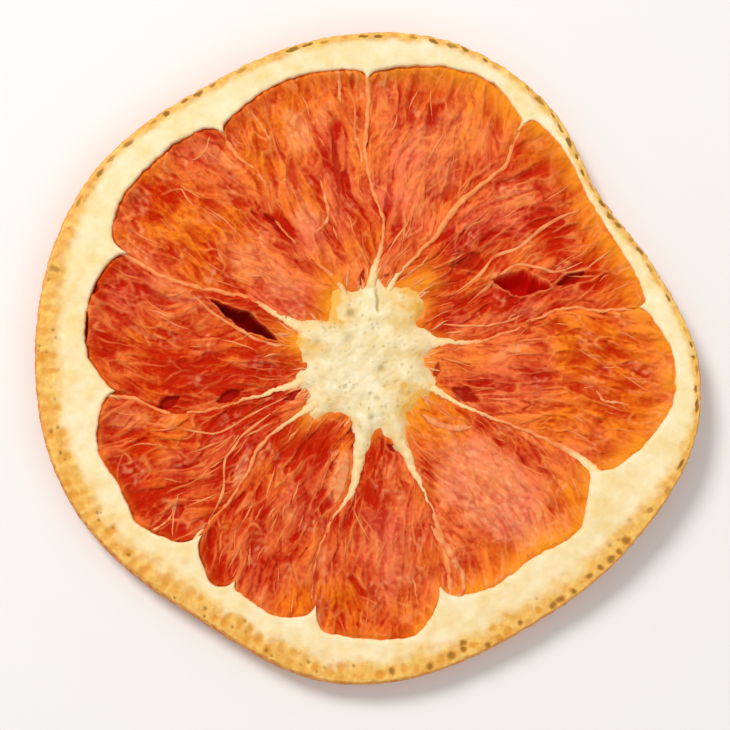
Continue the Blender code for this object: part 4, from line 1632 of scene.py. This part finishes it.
def core_material(grain):
    """Dry cream pith with its threads, amber edge, grey-brown dots and crumbs, and painted shade in its
    pits and crack.
    """
    material, tree, shader = shaded("dry_core", 0.84, 0.06, 0.0006)
    mottle, height = placed(tree, grain, 2.0)
    cloud = placed(tree, grain, 4.5)[0]
    body = tinted(tree, mottle, screen(232, 202, 138), screen(255, 246, 220))
    body = tinted(tree, sums(tree, "MULTIPLY", cloud, 0.3), body, screen(234, 210, 112))
    body = laid_over(tree, body, "thread", 0.5, screen(255, 242, 212))
    body = laid_over(tree, body, "amber", 0.9, screen(238, 176, 64))
    # Painted shade in the pits and crack, with the core's own grey-brown dots and crumbs
    body = laid_over(tree, body, "pit", 0.7, screen(168, 140, 78))
    feed(tree, shader.inputs["Base Color"], body)
    bumped(tree, shader, height, 0.00009, 0.8)
    return material


def membrane_material(grain):
    """Dry skin, from translucent orange to pale strand and to cream where it joins the pith."""
    material, tree, shader = shaded("dry_membrane", 0.6, 0.06, 0.0005)
    mottle, height = placed(tree, grain, 0.7)
    body = tinted(tree, mask_of(tree, "strand"), screen(230, 88, 34), screen(252, 168, 98))
    body = tinted(tree, mask_of(tree, "cream"), body, screen(252, 222, 160))
    body = tinted(tree, sums(tree, "MULTIPLY", mottle, 0.2), body, screen(238, 132, 62))
    feed(tree, shader.inputs["Base Color"], body)
    bumped(tree, shader, height, 0.00005, 0.7)
    return material


# ---------------------------------------------------------------- stage

FLOOR_HALF = 2.0


def make_floor():
    blank = bmesh.new()
    bmesh.ops.create_grid(blank, x_segments=1, y_segments=1, size=FLOOR_HALF)
    mesh = bpy.data.meshes.new("floor")
    blank.to_mesh(mesh)
    blank.free()
    floor = bpy.data.objects.new("floor", mesh)
    bpy.context.scene.collection.objects.link(floor)
    material, _, shader = shaded("pale_floor", 0.9, 0.0, 0.001)
    shader.inputs["Base Color"].default_value = screen(243, 242, 240)
    mesh.materials.append(material)


def pointing(azimuth, elevation):
    """Unit vector from the slice towards an azimuth and an elevation."""
    around = math.radians(azimuth)
    up = math.radians(elevation)
    return Vector((math.cos(around) * math.cos(up), math.sin(around) * math.cos(up), math.sin(up)))


def make_light(name, azimuth, elevation, distance, size, power, colour):
    lamp = bpy.data.lights.new(name, "AREA")
    lamp.shape = "DISK"
    lamp.size = size
    lamp.energy = power
    lamp.color = colour
    holder = bpy.data.objects.new(name, lamp)
    bpy.context.scene.collection.objects.link(holder)
    away = pointing(azimuth, elevation)
    holder.location = away * distance
    holder.rotation_euler = away.to_track_quat("Z", "Y").to_euler()


# The picture's width and the point in its middle, where the camera stands, and its lens
FRAME_WIDTH = 76.6 * MM
FRAME_CENTRE = Vector((-0.33, -1.05, 2.5)) * MM
VIEW_FROM = 240.0
VIEW_ELEVATION = 84.0
LENS = 100.0
SENSOR = 36.0
SKY_STRENGTH = 0.48


def make_camera():
    back = pointing(VIEW_FROM, VIEW_ELEVATION)
    right = Vector((0.0, 1.0, 0.0)).cross(back).normalized()
    above = back.cross(right)
    eye = bpy.data.cameras.new("camera")
    eye.lens = LENS
    eye.sensor_width = SENSOR
    eye.clip_start = 0.01
    holder = bpy.data.objects.new("camera", eye)
    bpy.context.scene.collection.objects.link(holder)
    turn = Matrix((right, above, back)).transposed().to_4x4()
    distance = FRAME_WIDTH * LENS / SENSOR
    holder.matrix_world = Matrix.Translation(FRAME_CENTRE + back * distance) @ turn
    bpy.context.scene.camera = holder


def make_studio():
    world = bpy.data.worlds.new("studio")
    bpy.context.scene.world = world
    world.use_nodes = True
    sky = world.node_tree.nodes["Background"]
    sky.inputs["Color"].default_value = (1.0, 1.0, 1.0, 1.0)
    sky.inputs["Strength"].default_value = SKY_STRENGTH
    make_light("key", 130.0, 50.0, 0.6, 0.2, 2.3, (1.0, 0.98, 0.95))
    make_light("fill", 330.0, 55.0, 0.7, 0.5, 0.6, (1.0, 1.0, 1.0))
    bpy.context.scene.view_settings.view_transform = "Standard"


# ---------------------------------------------------------------- the slice

dry_grain = dry_grain_group()
pulp = pulp_material(dry_grain, cell_streak_group())
skin = membrane_material(dry_grain)
for number in range(SEGMENTS):
    make_pulp(number, pulp)
    make_membrane(number, skin)
make_strands(skin)
make_fibres(skin)
make_pith(rind_material("dry_pith", dry_grain, 0.86))
make_peel(rind_material("dried_peel", dry_grain, 0.6))
make_core(core_material(dry_grain))
make_floor()
make_studio()
make_camera()
